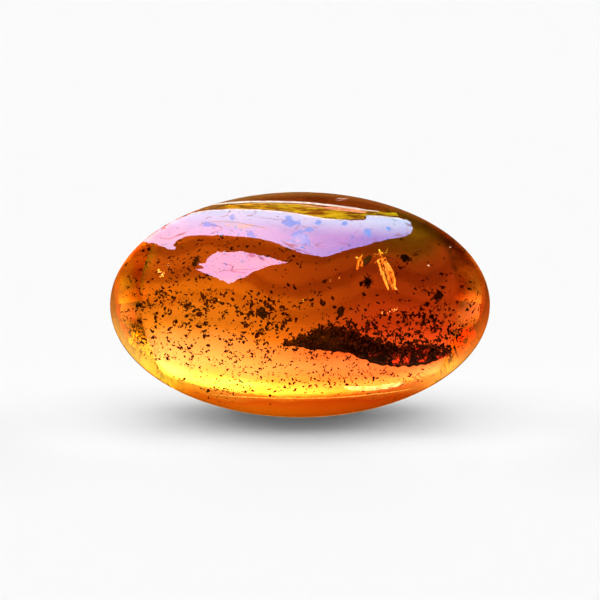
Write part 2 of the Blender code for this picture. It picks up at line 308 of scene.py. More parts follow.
def amberMaterial():
    material, tree, shader = newMaterial("polishedAmber")
    place = objectPlace(tree)
    across, depth, tall = addNode(tree, "ShaderNodeSeparateXYZ", {0: place}).outputs
    # the same place moved by slow noise, so that no tint ends in a straight line
    wander = addNode(tree, "ShaderNodeTexNoise", {"Vector": place, "Scale": 0.12, "Detail": 2.0})
    shift = addNode(tree, "ShaderNodeVectorMath", {0: wander.outputs["Color"], 1: (0.5, 0.5, 0.5)},
                    operation="SUBTRACT")
    moved = addNode(tree, "ShaderNodeVectorMath", {0: shift.outputs[0], 1: (5, 5, 5), 2: place},
                    operation="MULTIPLY_ADD")
    x, _, z = addNode(tree, "ShaderNodeSeparateXYZ", {0: moved.outputs[0]}).outputs
    # redder towards the right end
    toRight = spread(tree, x, -7.0, 7.0)
    # the painted dark crescent under the bright band climbs towards both ends
    climb = times(tree, maths(tree, "POWER", maths(tree, "ABSOLUTE", across), 4), 0.0001)
    climb = maths(tree, "MINIMUM", climb, 2.0)
    lowered = times(tree, climb, spread(tree, maths(tree, "SUBTRACT", z, climb), 3.6, 2.3))
    low = maths(tree, "SUBTRACT", z, lowered)
    colour = mixed(tree, toRight, heightRamp(tree, low, amber["left"]), heightRamp(tree, low, amber["right"]))
    # olive at the upper right, its darkness partly painted shade, and painted shade in brown at the crown
    olive = times(tree, spread(tree, x, 4.0, 8.5), spread(tree, z, 13.5, 15.8))
    colour = mixed(tree, olive, colour, amber["oliveAndPaintedShade"])
    colour = mixed(tree, spread(tree, tall, 17.0, 17.9), colour, amber["crownPaintedShade"])
    # painted shade on the upper ends, beyond the line where the back turns into a mirror
    alongAxis = maths(tree, "DIVIDE", across, halfLength / mm)
    upAxis = maths(tree, "DIVIDE", maths(tree, "SUBTRACT", tall, stoneMiddle.z / mm), halfHeight / mm)
    alongSquare = times(tree, alongAxis, alongAxis)
    upSquare = times(tree, upAxis, upAxis)
    endness = maths(tree, "ADD", alongSquare, times(tree, upSquare, 0.35))
    paintedEndShade = times(tree, spread(tree, endness, 0.655, 0.705), spread(tree, tall, 8.6, 10.6))
    shade = mixed(tree, toRight, amber["leftEndPaintedShade"], amber["rightEndPaintedShade"])
    colour = mixed(tree, paintedEndShade, colour, shade, "MULTIPLY")
    # painted light on the left shoulder, painted shade low at the ends
    for along, rising, falling, tint in amber["zones"].values():
        share = times(tree, spread(tree, across, *along), spread(tree, tall, *rising))
        if falling:
            share = times(tree, share, spread(tree, tall, *falling))
        colour = mixed(tree, share, colour, tint, "MULTIPLY")
    # veils where one flow of resin ran over another
    flow = addNode(tree, "ShaderNodeTexWave", {"Vector": moved.outputs[0], "Scale": amber["flowScale"],
                                               "Distortion": 3.0, "Detail": 2.0, "Detail Scale": 0.5})
    flow.bands_direction = "Z"
    veil = times(tree, spread(tree, flow.outputs["Fac"], 0.2, 0.9), spread(tree, z, 8.0, 13.0, 0.1, 0.8))
    colour = mixed(tree, veil, colour, amber["veilColour"], "MULTIPLY")
    back = mixed(tree, toRight, amber["backLeft"], amber["backRight"])
    colour = mixed(tree, spread(tree, depth, 3.0, -2.0), back, colour)
    # painted shade along the rim at the upper right
    outward = maths(tree, "ADD", alongSquare, upSquare)
    rim = times(tree, spread(tree, outward, 0.84, 0.95), spread(tree, across, 8.0, 11.0),
                spread(tree, tall, 12.8, 14.0))
    colour = mixed(tree, rim, colour, amber["rightRim"], "MULTIPLY")
    tree.links.new(colour, shader.inputs["Base Color"])
    shader.inputs["Transmission Weight"].default_value = 1.0
    shader.inputs["Roughness"].default_value = 0.0
    shader.inputs["IOR"].default_value = amberIor
    bumped(tree, shader, noiseOf(tree, place, 0.35, 1.5), 0.25, amber["polishDepth"])
    inside = addNode(tree, "ShaderNodeVolumeAbsorption", {"Color": (*amber["absorbs"], 1),
                                                          "Density": amber["density"]})
    tree.links.new(inside.outputs["Volume"], tree.nodes["Material Output"].inputs["Volume"])
    return material


def buildAmber():
    bm = bmesh.new()
    bmesh.ops.create_icosphere(bm, subdivisions=7, radius=1)
    for vertex in bm.verts:
        place = Vector(c * axis for c, axis in zip(vertex.co, halfAxes)) + stoneMiddle
        place.z = max(place.z, cadLow.z)
        vertex.co = place
    piece = meshObject("amber", bm, amberMaterial())
    return finished(piece, "amber", "amber_front", "amber_back")


buildAmber()
print("amber stone made")

# Small parts of a mesh, all lengths in millimetres until the piece is done
def addTube(bm, line, thick, sides=6, closed=True):
    # line: points along it, thick: radius at each
    rings = []
    points = [Vector(point) for point in line]
    side = None
    for index, point in enumerate(points):
        ahead = points[min(index + 1, len(points) - 1)] - points[max(index - 1, 0)]
        ahead.normalize()
        if side is None:
            side = ahead.orthogonal().normalized()
        side = (side - ahead * side.dot(ahead)).normalized()
        across = ahead.cross(side)
        ring = []
        for step in range(sides):
            turn = math.tau * step / sides
            out = side * math.cos(turn) + across * math.sin(turn)
            ring.append(bm.verts.new(point + out * thick[index]))
        rings.append(ring)
    for first, second in zip(rings, rings[1:]):
        for step in range(sides):
            after = (step + 1) % sides
            bm.faces.new((first[step], first[after], second[after], second[step]))
    if closed:
        bm.faces.new(list(reversed(rings[0])))
        bm.faces.new(rings[-1])


def addBall(bm, middle, radii, detail=2, turn=None, rough=0.0, seed=0):
    made = bmesh.ops.create_icosphere(bm, subdivisions=detail, radius=1)["verts"]
    for vertex in made:
        place = Vector(vertex.co)
        if rough:
            place *= 1 + rough * noise.noise(place * 2.1 + Vector((seed, seed * 0.7, 0)))
        place = Vector(a * b for a, b in zip(place, radii))
        if turn:
            place = turn @ place
        vertex.co = place + Vector(middle)
    return made


def bowed(first, second, third, steps):
    # points of a smooth bow that starts, passes near and ends at the three
    first, second, third = Vector(first), Vector(second), Vector(third)
    return [first * (1 - t) ** 2 + second * 2 * t * (1 - t) + third * t * t for t in
            (step / steps for step in range(steps + 1))]


def placed(bm, matrix):
    bmesh.ops.transform(bm, matrix=matrix, verts=bm.verts)
    bmesh.ops.scale(bm, vec=(mm, mm, mm), verts=bm.verts)


# Shapes that the scattered crumbs are copied from, each a few dozen faces at most
def makeCurl(draw):
    bm = bmesh.new()
    steps, turn = 5, draw.uniform(1.2, 3.2)
    line = []
    for step in range(steps + 1):
        angle = turn * (step / steps - 0.5)
        line.append((math.sin(angle) * 0.5, draw.uniform(-0.06, 0.06), math.cos(angle) * 0.5 - 0.3))
    addTube(bm, line, [0.08, 0.16, 0.20, 0.18, 0.15, 0.06], 4)
    return bm


def makeChip(draw):
    bm = bmesh.new()
    made = addBall(bm, (0, 0, 0), (0.5, 0.32, 0.16), 1)
    for vertex in made:
        vertex.co *= draw.uniform(0.65, 1.25)
    return bm


def makeShard(draw):
    bm = bmesh.new()
    line = [(-0.5, 0, 0), (-0.15, draw.uniform(-0.1, 0.1), 0.05), (0.2, draw.uniform(-0.12, 0.12), -0.04),
            (0.5, 0, 0.04)]
    addTube(bm, line, [0.05, 0.17, 0.20, 0.04], 3)
    return bm


def makeClump(draw):
    bm = bmesh.new()
    for index in range(3):
        middle = [draw.uniform(-0.3, 0.3) for axis in range(3)]
        for vertex in addBall(bm, middle, (0.26, 0.2, 0.22), 1, None, 0.5, draw.random() * 50):
            vertex.co += Vector([draw.uniform(-0.05, 0.05) for axis in range(3)])
    return bm


def makeFlake(draw):
    # a ragged bent flake with its own thickness
    bm = bmesh.new()
    rim = 9
    lower, upper = [], []
    for step in range(rim):
        turn = math.tau * step / rim
        reach = draw.uniform(0.28, 0.52)
        x, y = math.cos(turn) * reach, math.sin(turn) * reach * 0.8
        bend = 0.5 * x * x
        lower.append(bm.verts.new((x, y, bend - 0.03)))
        upper.append(bm.verts.new((x * 0.94, y * 0.94, bend + 0.03)))
    for step in range(rim):
        after = (step + 1) % rim
        bm.faces.new((lower[step], lower[after], upper[after], upper[step]))
    top, bottom = bm.verts.new((0, 0, 0.05)), bm.verts.new((0, 0, -0.05))
    for step in range(rim):
        after = (step + 1) % rim
        bm.faces.new((upper[step], upper[after], top))
        bm.faces.new((lower[after], lower[step], bottom))
    return bm


def makeHook(draw):
    bm = bmesh.new()
    turn = draw.uniform(3.4, 4.8)
    line = [(math.cos(turn * t) * 0.4 * (1 - 0.3 * t), math.sin(turn * t) * 0.4, 0.1 * t) for t in
            (step / 7 for step in range(8))]
    addTube(bm, line, [0.03, 0.06, 0.08, 0.08, 0.09, 0.08, 0.06, 0.02], 4)
    return bm


def shapeGroup(name, makers, seed):
    draw = random.Random(seed)
    group = bpy.data.collections.new(name)
    for number, maker in enumerate(makers):
        bm = maker(draw)
        bmesh.ops.recalc_face_normals(bm, faces=bm.faces)
        mesh = bpy.data.meshes.new(f"{name}{number:02d}")
        bm.to_mesh(mesh)
        bm.free()
        group.objects.link(bpy.data.objects.new(mesh.name, mesh))
    return group


# The tree that sets a turned copy of one of the shapes on every point of a cloud
def scatterTree():
    tree = bpy.data.node_groups.new("scatterShapes", "GeometryNodeTree")
    face = tree.interface
    face.new_socket("Cloud", in_out="INPUT", socket_type="NodeSocketGeometry")
    face.new_socket("Shapes", in_out="INPUT", socket_type="NodeSocketCollection")
    face.new_socket("Surface", in_out="INPUT", socket_type="NodeSocketMaterial")
    face.new_socket("Turn Range", in_out="INPUT", socket_type="NodeSocketVector")
    face.new_socket("Seed", in_out="INPUT", socket_type="NodeSocketInt")
    face.new_socket("Pieces", in_out="OUTPUT", socket_type="NodeSocketGeometry")
    given = tree.nodes.new("NodeGroupInput")
    result = tree.nodes.new("NodeGroupOutput")
    shapes = addNode(tree, "GeometryNodeCollectionInfo", {"Collection": given.outputs["Shapes"],
                                                         "Separate Children": True, "Reset Children": True})
    pick = addNode(tree, "FunctionNodeRandomValue", {"Seed": given.outputs["Seed"]}, data_type="INT")
    pick.inputs[4].default_value = 0
    pick.inputs[5].default_value = 999
    reseeded = maths(tree, "ADD", given.outputs["Seed"], 17)
    turn = addNode(tree, "FunctionNodeRandomValue", {"Seed": reseeded}, data_type="FLOAT_VECTOR")
    opposite = addNode(tree, "ShaderNodeVectorMath", {0: given.outputs["Turn Range"]}, operation="SCALE")
    opposite.inputs["Scale"].default_value = -1
    tree.links.new(opposite.outputs[0], turn.inputs[0])
    tree.links.new(given.outputs["Turn Range"], turn.inputs[1])
    size = addNode(tree, "GeometryNodeInputNamedAttribute", {"Name": "size"}, data_type="FLOAT")
    copies = addNode(tree, "GeometryNodeInstanceOnPoints", {
        "Points": given.outputs["Cloud"], "Instance": shapes.outputs[0], "Pick Instance": True,
        "Instance Index": pick.outputs[2], "Rotation": turn.outputs[0], "Scale": size.outputs[0]})
    shade = addNode(tree, "FunctionNodeRandomValue", {"Seed": given.outputs["Seed"]}, data_type="FLOAT")
    kept = addNode(tree, "GeometryNodeStoreNamedAttribute", {"Geometry": copies.outputs[0], "Name": "shade"},
                   data_type="FLOAT", domain="INSTANCE")
    tree.links.new(shade.outputs[1], kept.inputs["Value"])
    real = addNode(tree, "GeometryNodeRealizeInstances", {"Geometry": kept.outputs[0]})
    painted = addNode(tree, "GeometryNodeSetMaterial", {"Geometry": real.outputs[0],
                                                       "Material": given.outputs["Surface"]})
    tree.links.new(painted.outputs[0], result.inputs[0])
    return tree


scatter = scatterTree()


def scattered(name, cloud, shapes, material, seed, turns=(3.1, 3.1, 3.1)):
    # cloud: list of (place in metres, size in metres), turns: how far a shape is turned about X, Y and Z
    mesh = bpy.data.meshes.new(name + "Cloud")
    mesh.from_pydata([place for place, size in cloud], [], [])
    sizes = mesh.attributes.new("size", "FLOAT", "POINT")
    sizes.data.foreach_set("value", [size for place, size in cloud])
    piece = bpy.data.objects.new(name, mesh)
    scene.collection.objects.link(piece)
    modifier = piece.modifiers.new("scatter", "NODES")
    modifier.node_group = scatter
    sockets = {item.name: item.identifier for item in scatter.interface.items_tree if item.in_out == "INPUT"}
    modifier[sockets["Shapes"]] = shapes
    modifier[sockets["Surface"]] = material
    modifier[sockets["Turn Range"]] = turns
    modifier[sockets["Seed"]] = seed
    bpy.context.view_layer.update()
    evaluated = piece.evaluated_get(bpy.context.evaluated_depsgraph_get())
    made = bpy.data.meshes.new_from_object(evaluated)
    piece.modifiers.clear()
    piece.data = made
    made.name = name
    bpy.data.meshes.remove(mesh)
    return piece


def isInside(place, margin):
    # whether a place is inside the stone with that much amber round it
    if place.z < cadLow.z + margin:
        return False
    near = place - stoneMiddle
    return sum((value / (axis - margin)) ** 2 for value, axis in zip(near, halfAxes)) < 1


# Surfaces of what the resin caught
def debrisMaterial(name, dark, middle, pale, scale=6.0, shine=0.3):
    material, tree, shader = newMaterial(name)
    place = objectPlace(tree)
    mottle = noiseOf(tree, place, scale, 5.0, 0.65)
    fine = noiseOf(tree, place, scale * 4, 3.0, 0.6)
    shade = addNode(tree, "ShaderNodeAttribute", attribute_name="shade")
    level = maths(tree, "ADD", times(tree, shade.outputs["Fac"], 0.5), times(tree, mottle, 0.7))
    colour = ramp(tree, level, [(0.25, dark), (0.60, middle), (0.95, pale)])
    shaded = mixed(tree, spread(tree, fine, 0.35, 0.7, 0.7, 0.0), colour, dark)
    tree.links.new(shaded, shader.inputs["Base Color"])
    shader.inputs["Roughness"].default_value = 0.7
    shader.inputs["Specular IOR Level"].default_value = shine
    bumped(tree, shader, fine, 0.6, 0.04 * mm)
    return material


# Loose flecks: curled chips of bark dust, thickest in a belt under the middle
flecks = {
    "count": 3300,
    "seed": 31,
    "depthSpread": 2.4 * mm,     # how far before and behind the insect's layer they lie
    "smallest": 0.13 * mm,
    "largest": 0.46 * mm,
    # the part of the photograph, and the depth, that is kept clear before the insect
    "clearAcross": (352, 404),
    "clearDown": (244, 294),
    "clearDepth": 1.6 * mm,
    # belts: share of all, middle x and y in the photograph, half widths there, size factor
    "belts": [
        (0.09, 200, 322, 66, 13, 1.0),
        (0.05, 185, 303, 46, 5, 0.9),
        (0.05, 272, 326, 36, 14, 1.0),
        (0.03, 128, 318, 12, 26, 0.75),
        (0.02, 470, 318, 10, 22, 0.9),
        (0.03, 290, 300, 55, 14, 0.85),
        (0.07, 155, 335, 40, 20, 0.7),
        (0.12, 205, 362, 66, 18, 0.72),
        (0.08, 300, 372, 80, 16, 0.68),
        (0.06, 235, 386, 60, 6, 0.75),
        (0.05, 300, 352, 60, 6, 0.7),
        (0.08, 418, 322, 38, 15, 1.0),
        (0.05, 400, 374, 50, 8, 0.7),
        (0.12, 170, 274, 50, 20, 0.95),
        (0.04, 255, 250, 55, 12, 0.85),
        (0.06, 425, 272, 45, 24, 0.85),
    ],
}


def clearOfInsect(x, y, depth):
    (left, right), (top, bottom) = flecks["clearAcross"], flecks["clearDown"]
    inFront = left < x < right and top < y < bottom
    return not inFront or depth > layerY + flecks["clearDepth"]


def fleckCloud():
    draw = random.Random(flecks["seed"])
    cloud = []
    while len(cloud) < flecks["count"]:
        pick = draw.random()
        for share, middleX, middleY, halfX, halfY, factor in flecks["belts"]:
            pick -= share
            if pick < 0:
                break
        x, y = draw.gauss(middleX, halfX), draw.gauss(middleY, halfY)
        clumps = noise.noise(Vector((x / 13, y / 8, 3.7))) + 0.5 * noise.noise(Vector((x / 5, y / 4, 9.1)))
        if draw.random() > 0.5 + 1.1 * clumps:
            continue
        depth = layerY + draw.gauss(0, flecks["depthSpread"])
        try:
            depth = max(depth, skinAt(x, y)[0].y + draw.uniform(0.5, 1.4) * mm)
            place = placeInside(x, y, depth)
        except ValueError:
            continue
        if not isInside(place, 0.35 * mm) or not clearOfInsect(x, y, depth):
            continue
        size = flecks["smallest"] + (flecks["largest"] - flecks["smallest"]) * draw.random() ** 2.2
        cloud.append((place, size * factor))
    return cloud


def buildFlecks():
    makers = [makeCurl, makeCurl, makeChip, makeChip, makeShard, makeClump, makeHook, makeFlake]
    shapes = shapeGroup("fleckShape", makers, flecks["seed"])
    material = debrisMaterial("barkDust", (0.006, 0.003, 0.001), (0.022, 0.006, 0.002), (0.10, 0.014, 0.004))
    piece = scattered("resinFlecks", fleckCloud(), shapes, material, flecks["seed"], (3.1, 0.7, 0.8))
    return finished(piece, "debris")


buildFlecks()
print("loose flecks made")

# Larger single bits, by where the photograph shows them
bits = {
    "seed": 5,
    "chips": 8,                      # that each bit is made of
    "scatter": (0.34, 0.20, 0.19),   # how far they lie apart, as a share of the bit's size
    # x, y, size in mm
    "places": [
        (196, 262, 0.62), (198, 257, 0.42), (158, 291, 0.50), (263, 313, 0.62), (266, 317, 0.40),
        (278, 325, 0.60), (262, 334, 0.46), (258, 342, 0.55), (264, 340, 0.36), (193, 357, 0.40),
        (187, 365, 0.44), (191, 368, 0.32), (183, 384, 0.46), (153, 337, 0.26), (170, 333, 0.36),
        (205, 332, 0.42), (223, 312, 0.36), (222, 318, 0.40), (191, 303, 0.34), (180, 302, 0.30),
        (155, 304, 0.34), (432, 292, 0.52), (438, 290, 0.52), (444, 287, 0.30), (422, 288, 0.44),
        (466, 299, 0.34), (451, 333, 0.55), (404, 258, 0.62), (407, 260, 0.42), (414.5, 254, 0.30),
        (299, 264, 0.40), (318, 294, 0.50), (323, 303, 0.46), (286, 262, 0.36), (270, 318, 0.40),
        (281, 250, 0.34), (288, 249, 0.40), (472, 330, 0.62), (467, 337, 0.42), (437, 307, 0.44),
        (403, 314, 0.50), (424, 318, 0.46), (412, 316, 0.46), (352, 243, 0.30), (208, 377, 0.34),
        (216, 383, 0.30), (150, 366, 0.26), (369.5, 372.5, 0.18), (371, 375.5, 0.20), (372.5, 378.5, 0.16),
        (426, 290, 0.34), (447, 304, 0.34), (371, 341, 0.50), (385, 339, 0.62), (392, 335, 0.50),
        (398, 342, 0.62), (408, 343, 0.46), (418, 345, 0.66), (424, 321, 0.50), (418, 323, 0.40),
        (406, 320, 0.46), (438, 348, 0.56), (446, 351, 0.56), (442, 322, 0.36), (430, 343, 0.40),
        (454, 354, 0.50),
    ],
}


def buildBits():
    draw = random.Random(bits["seed"])
    cloud = []
    for x, y, size in bits["places"]:
        place = placeInside(x, y, layerY)
        for chip in range(bits["chips"]):
            shift = Vector([draw.gauss(0, size * reach) * mm for reach in bits["scatter"]])
            cloud.append((place + shift, size * draw.uniform(0.22, 0.55) * mm))
    shapes = shapeGroup("bitShape", [makeClump, makeFlake, makeChip, makeCurl, makeClump, makeFlake], 8)
    material = debrisMaterial("rottenWood", (0.010, 0.008, 0.003), (0.035, 0.024, 0.006), (0.10, 0.05, 0.010))
    piece = scattered("woodBits", cloud, shapes, material, 4, (3.1, 0.8, 1.2))
    return finished(piece, "debris")


buildBits()
print("larger bits made")

# The drift: a lumpy mat of plant debris, dark below, looser above its right half and redder there by painted
# red-orange highlights
drift = {
    "seed": 12,
    "flakes": 1900,
    "lumps": ((2.2, 0.16), (6, 0.09), (15, 0.04)),     # how fine each noise is and how deep, in mm
    # x, lowest and highest z, half depth, all in mm
    "profile": [
        (-1.30, 7.36, 7.50, 0.10), (-0.60, 7.22, 7.58, 0.25), (0.40, 7.06, 7.78, 0.40),
        (1.10, 7.00, 8.24, 0.55), (2.60, 6.88, 8.46, 0.70), (3.60, 6.74, 8.30, 0.75),
        (4.80, 6.30, 7.94, 0.75), (6.00, 5.88, 7.60, 0.70), (7.60, 5.70, 7.34, 0.62),
        (10.00, 5.64, 7.26, 0.55), (11.20, 5.72, 6.90, 0.42), (12.00, 6.06, 6.50, 0.20),
    ],
}


def driftAt(x):
    rows = drift["profile"]
    for before, after in zip(rows, rows[1:]):
        if before[0] <= x <= after[0]:
            t = (x - before[0]) / (after[0] - before[0])
            t = t * t * (3 - 2 * t)
            return [a + (b - a) * t for a, b in zip(before[1:], after[1:])]
    return None


def driftMaterial():
    material, tree, shader = newMaterial("compactedDebris")
    place = objectPlace(tree)
    mottle = noiseOf(tree, place, 1.9, 6.0, 0.7)
    grain = noiseOf(tree, place, 9.0, 4.0, 0.7)
    x, _, z = addNode(tree, "ShaderNodeSeparateXYZ", {0: place}).outputs
    olive = spread(tree, x, 3.8, 1.6)
    # painted red-orange highlights in the gaps, only right of the thick part
    paintedRedHighlights = maths(tree, "SUBTRACT", mottle, spread(tree, x, 7.4, 6.2, 0.0, 0.12))
    dark = ramp(tree, paintedRedHighlights, [(0.38, (0.002, 0.0015, 0.001)), (0.49, (0.014, 0.009, 0.002)),
                             (0.54, (0.10, 0.014, 0.003)), (0.585, (0.90, 0.10, 0.012))])
    green = ramp(tree, mottle, [(0.36, (0.006, 0.005, 0.001)), (0.50, (0.06, 0.055, 0.008)),
                                (0.62, (0.20, 0.13, 0.012))])
    colour = mixed(tree, olive, dark, green)
    # its foot is closed and olive, without red gaps
    edge = maths(tree, "ADD", times(tree, x, -0.30), 7.75)
    foot = maths(tree, "SUBTRACT", z, maths(tree, "MAXIMUM", edge, 5.65))
    colour = mixed(tree, spread(tree, foot, 0.45, 0.25), colour, (0.030, 0.018, 0.003))
    colour = mixed(tree, spread(tree, grain, 0.35, 0.65), (0.004, 0.002, 0.001), colour)
    tree.links.new(colour, shader.inputs["Base Color"])
    shader.inputs["Roughness"].default_value = 0.8
    shader.inputs["Specular IOR Level"].default_value = 0.2
    bumped(tree, shader, grain, 0.8, 0.08 * mm)
    return material


def buildDriftCore():
    bm = bmesh.new()
    rings, around = 90, 26
    first, last = drift["profile"][0][0], drift["profile"][-1][0]
    rows = []
    for ring in range(rings + 1):
        t = ring / rings
        x = first + 0.02 + (last - first - 0.04) * t
        low, high, half = driftAt(x)
        pinch = min(1.0, 6 * t + 0.1, 6 * (1 - t) + 0.1)
        row = []
        for step in range(around):
            turn = math.tau * step / around
            place = Vector((x, math.cos(turn) * half * 0.8 * pinch,
                            (low + high) / 2 + math.sin(turn) * (high - low) / 2 * 0.8 * pinch))
            lump = sum(noise.noise(place * finer) * deep for finer, deep in drift["lumps"])
            out = Vector((0, math.cos(turn), math.sin(turn)))
            row.append(bm.verts.new(place + out * lump * pinch + Vector((0, layerY / mm, 0))))
        rows.append(row)
    for row, after in zip(rows, rows[1:]):
        for step in range(around):
            bm.faces.new((row[step], row[(step + 1) % around], after[(step + 1) % around], after[step]))
    bm.faces.new(rows[0])
    bm.faces.new(list(reversed(rows[-1])))
    bmesh.ops.scale(bm, vec=(mm, mm, mm), verts=bm.verts)
    return meshObject("debrisDrift", bm, driftMaterial())


def driftCloud():
    draw = random.Random(drift["seed"])
    first, last = drift["profile"][0][0], drift["profile"][-1][0]
    cloud = []
    while len(cloud) < drift["flakes"]:
        x = draw.uniform(first + 0.1, last - 0.1)
        low, high, half = driftAt(x)
        # looser towards the right
        loose = draw.random() < 0.22 + 0.34 * max(0.0, min(1.0, (x - 3) / 3))
        turn = draw.uniform(-0.3, math.pi + 0.3)
        reach = draw.uniform(0.75, 1.02)
        z = (low + high) / 2 + math.sin(turn) * (high - low) / 2 * reach
        y = math.cos(turn) * half * reach
        size = draw.uniform(0.10, 0.34)
        if loose:
            z = high - 0.2 + abs(draw.gauss(0, 0.30 + 1.15 * max(0.0, min(1.0, (x - 3) / 4))))
            y = draw.gauss(0, half * 1.2)
            size = draw.uniform(0.10, 0.48)
            clots = noise.noise(Vector((x * 1.3, y, z * 2.1)))
            clots += 0.5 * noise.noise(Vector((x * 4, y * 2, z * 5)))
            if clots < 0.10:
                continue
        place = Vector((x, y + layerY / mm, z)) * mm
        if isInside(place, 0.3 * mm):
            cloud.append((place, size * mm))
    return cloud


def buildDrift():
    core = buildDriftCore()
    makers = [makeFlake, makeClump, makeChip, makeFlake, makeChip, makeHook, makeClump]
    shapes = shapeGroup("driftShape", makers, 3)
    material = debrisMaterial("driftFlakes", (0.006, 0.005, 0.001), (0.04, 0.03, 0.005), (0.18, 0.06, 0.008))
    flakes = scattered("driftFlakes", driftCloud(), shapes, material, 9, (3.1, 0.8, 0.9))
    finished(core, "debris", "debris_drift")
    finished(flakes, "debris", "debris_drift")


buildDrift()
print("debris drift made")

# The insect, head up, its back to the front and its wings folded down
insect = {
    "middle": (6.35, -4.0, 12.74),
    "lean": -16,     # degrees
    "seed": 7,
    "bristles": 130,
    # root, tip, chord direction, width
    "wings": [
        ((0.16, -0.20, 0.10), (0.22, -0.22, -2.14), (0.90, 0.42, 0), 0.60),
        ((-0.38, -0.08, 0.12), (-0.24, -0.14, -2.06), (-0.55, 0.83, 0), 0.60),
        ((0.14, -0.02, -0.02), (0.24, 0.02, -1.86), (0.80, 0.60, 0), 0.50),
        ((-0.22, 0.02, -0.02), (-0.10, 0.05, -1.78), (-0.45, 0.89, 0), 0.50),
    ],
    "legs": [
        ((0.12, 0.16, 0.22), (0.42, 0.34, 0.42), (0.62, 0.20, 0.66)),
        ((0.14, 0.18, 0.02), (0.56, 0.40, 0.04), (0.80, 0.24, -0.22)),
        ((0.13, 0.18, -0.16), (0.50, 0.42, -0.42), (0.78, 0.28, -0.92)),
    ],
}


def wingPlace(wing, t, across):
    root, tip, chord, width = wing
    root, tip = Vector(root), Vector(tip)
    chord = Vector(chord).normalized()
    out = chord.cross((tip - root).normalized())
    spreadHere = (0.35 + 0.65 * min(1, t / 0.4)) * math.sqrt(max(0.0, 1 - t ** 5))
    sweep = 0.12 * width * math.sin(math.pi * t)
    camber = 0.06 * (1 - (2 * across) ** 2) + 0.012 * math.sin(across * 26 + t * 3)
    return root.lerp(tip, t) + chord * (across * width * spreadHere + sweep) + out * camber


def addWing(bm, wing):
    rows, columns, thick = 26, 12, 0.012
    sheets = []
    for side in (-1, 1):
        grid = []
        for row in range(rows + 1):
            t = min(0.995, row / rows)
            line = []
            for column in range(columns + 1):
                across = column / columns - 0.5
                place = wingPlace(wing, t, across)
                line.append(bm.verts.new(place + Vector((0, side * thick, 0))))
            grid.append(line)
        sheets.append(grid)
    for row in range(rows):
        for column in range(columns):
            for grid in sheets:
                bm.faces.new((grid[row][column], grid[row][column + 1],
                              grid[row + 1][column + 1], grid[row + 1][column]))
    rim = [(0, c) for c in range(columns)] + [(r, columns) for r in range(rows)]
    rim += [(rows, c) for c in range(columns, 0, -1)] + [(r, 0) for r in range(rows, 0, -1)]
    for (r, c), (nextR, nextC) in zip(rim, rim[1:] + rim[:1]):
        back, front = sheets
        bm.faces.new((back[r][c], back[nextR][nextC], front[nextR][nextC], front[r][c]))


def addVeins(bm, wing):
    lift = Vector((0, -0.014, 0))
    for across, until in ((-0.46, 0.97), (-0.30, 0.95), (-0.12, 0.9), (0.06, 0.86), (0.24, 0.8), (0.44, 0.9)):
        line = [wingPlace(wing, 0.02 + until * step / 14, across * (0.55 + 0.45 * min(1, step / 5))) + lift
                for step in range(15)]
        addTube(bm, line, [0.020 - 0.0008 * step for step in range(15)], 5)
    for t in (0.32, 0.47, 0.60, 0.72, 0.83):
        for across in (-0.38, -0.20, -0.02, 0.16):
            line = [wingPlace(wing, t + 0.02 * step, across + 0.04 * step) + lift for step in range(3)]
            addTube(bm, line, [0.009] * 3, 4)


def insectMatrix():
    middle = Vector(insect["middle"])
    return Matrix.Translation(middle) @ Matrix.Rotation(math.radians(insect["lean"]), 4, "Y")


def wingMaterial():
    material, tree, shader = newMaterial("goldenWing")
    place = objectPlace(tree)
    mottle = noiseOf(tree, place, 3.2, 4.0, 0.68, 0.6)
    fine = noiseOf(tree, place, 14.0, 3.0, 0.6)
    colour = ramp(tree, mottle, [(0.39, (0.015, 0.004, 0.002)), (0.44, (0.45, 0.14, 0.03)),
                                 (0.50, (0.95, 0.58, 0.26)), (0.60, (1.0, 0.95, 0.75))])
    # more pitted towards the tips
    parts = addNode(tree, "ShaderNodeSeparateXYZ", {0: place})
    worn = spread(tree, parts.outputs[2], 12.6, 11.4, 0.45, 0.95)
    colour = mixed(tree, times(tree, spread(tree, fine, 0.50, 0.60), worn), colour, (0.14, 0.02, 0.008))
    tree.links.new(colour, shader.inputs["Base Color"])
    shader.inputs["Roughness"].default_value = 0.35
    shader.inputs["Specular IOR Level"].default_value = 0.8
    bumped(tree, shader, fine, 0.5, 0.03 * mm)
    return material


def bodyMaterial():
    material, tree, shader = newMaterial("darkChitin")
    place = objectPlace(tree)
    mottle = noiseOf(tree, place, 4.0, 4.0, 0.6)
    fine = noiseOf(tree, place, 22.0, 2.0, 0.6)
    colour = ramp(tree, mottle, [(0.30, (0.02, 0.008, 0.003)), (0.55, (0.16, 0.05, 0.015)),
                                 (0.72, (0.5, 0.26, 0.08))])
    # a pale head
    parts = addNode(tree, "ShaderNodeSeparateXYZ", {0: place})
    pale = ramp(tree, mottle, [(0.38, (0.03, 0.01, 0.004)), (0.46, (0.9, 0.6, 0.2)), (0.6, (1.0, 0.95, 0.6))])
    colour = mixed(tree, spread(tree, parts.outputs[2], 13.30, 13.50), colour, pale)
    tree.links.new(colour, shader.inputs["Base Color"])
    shader.inputs["Roughness"].default_value = 0.3
    bumped(tree, shader, fine, 0.5, 0.02 * mm)
    return material


def addBristles(bm, draw):
    for number in range(insect["bristles"]):
        out = Vector([draw.gauss(0, 1) for axis in range(3)]).normalized()
        root = Vector(a * b for a, b in zip(out, (0.27, 0.25, 0.36)))
        if number % 2:
            root = Vector(a * b for a, b in zip(out, (0.21, 0.19, 0.7))) + Vector((0.03, 0.05, -0.82))
        tip = root + out * draw.uniform(0.06, 0.13) + Vector((0, 0, -0.06))
        addTube(bm, [root * 0.97, (root + tip) / 2, tip], [0.007, 0.005, 0.002], 3)


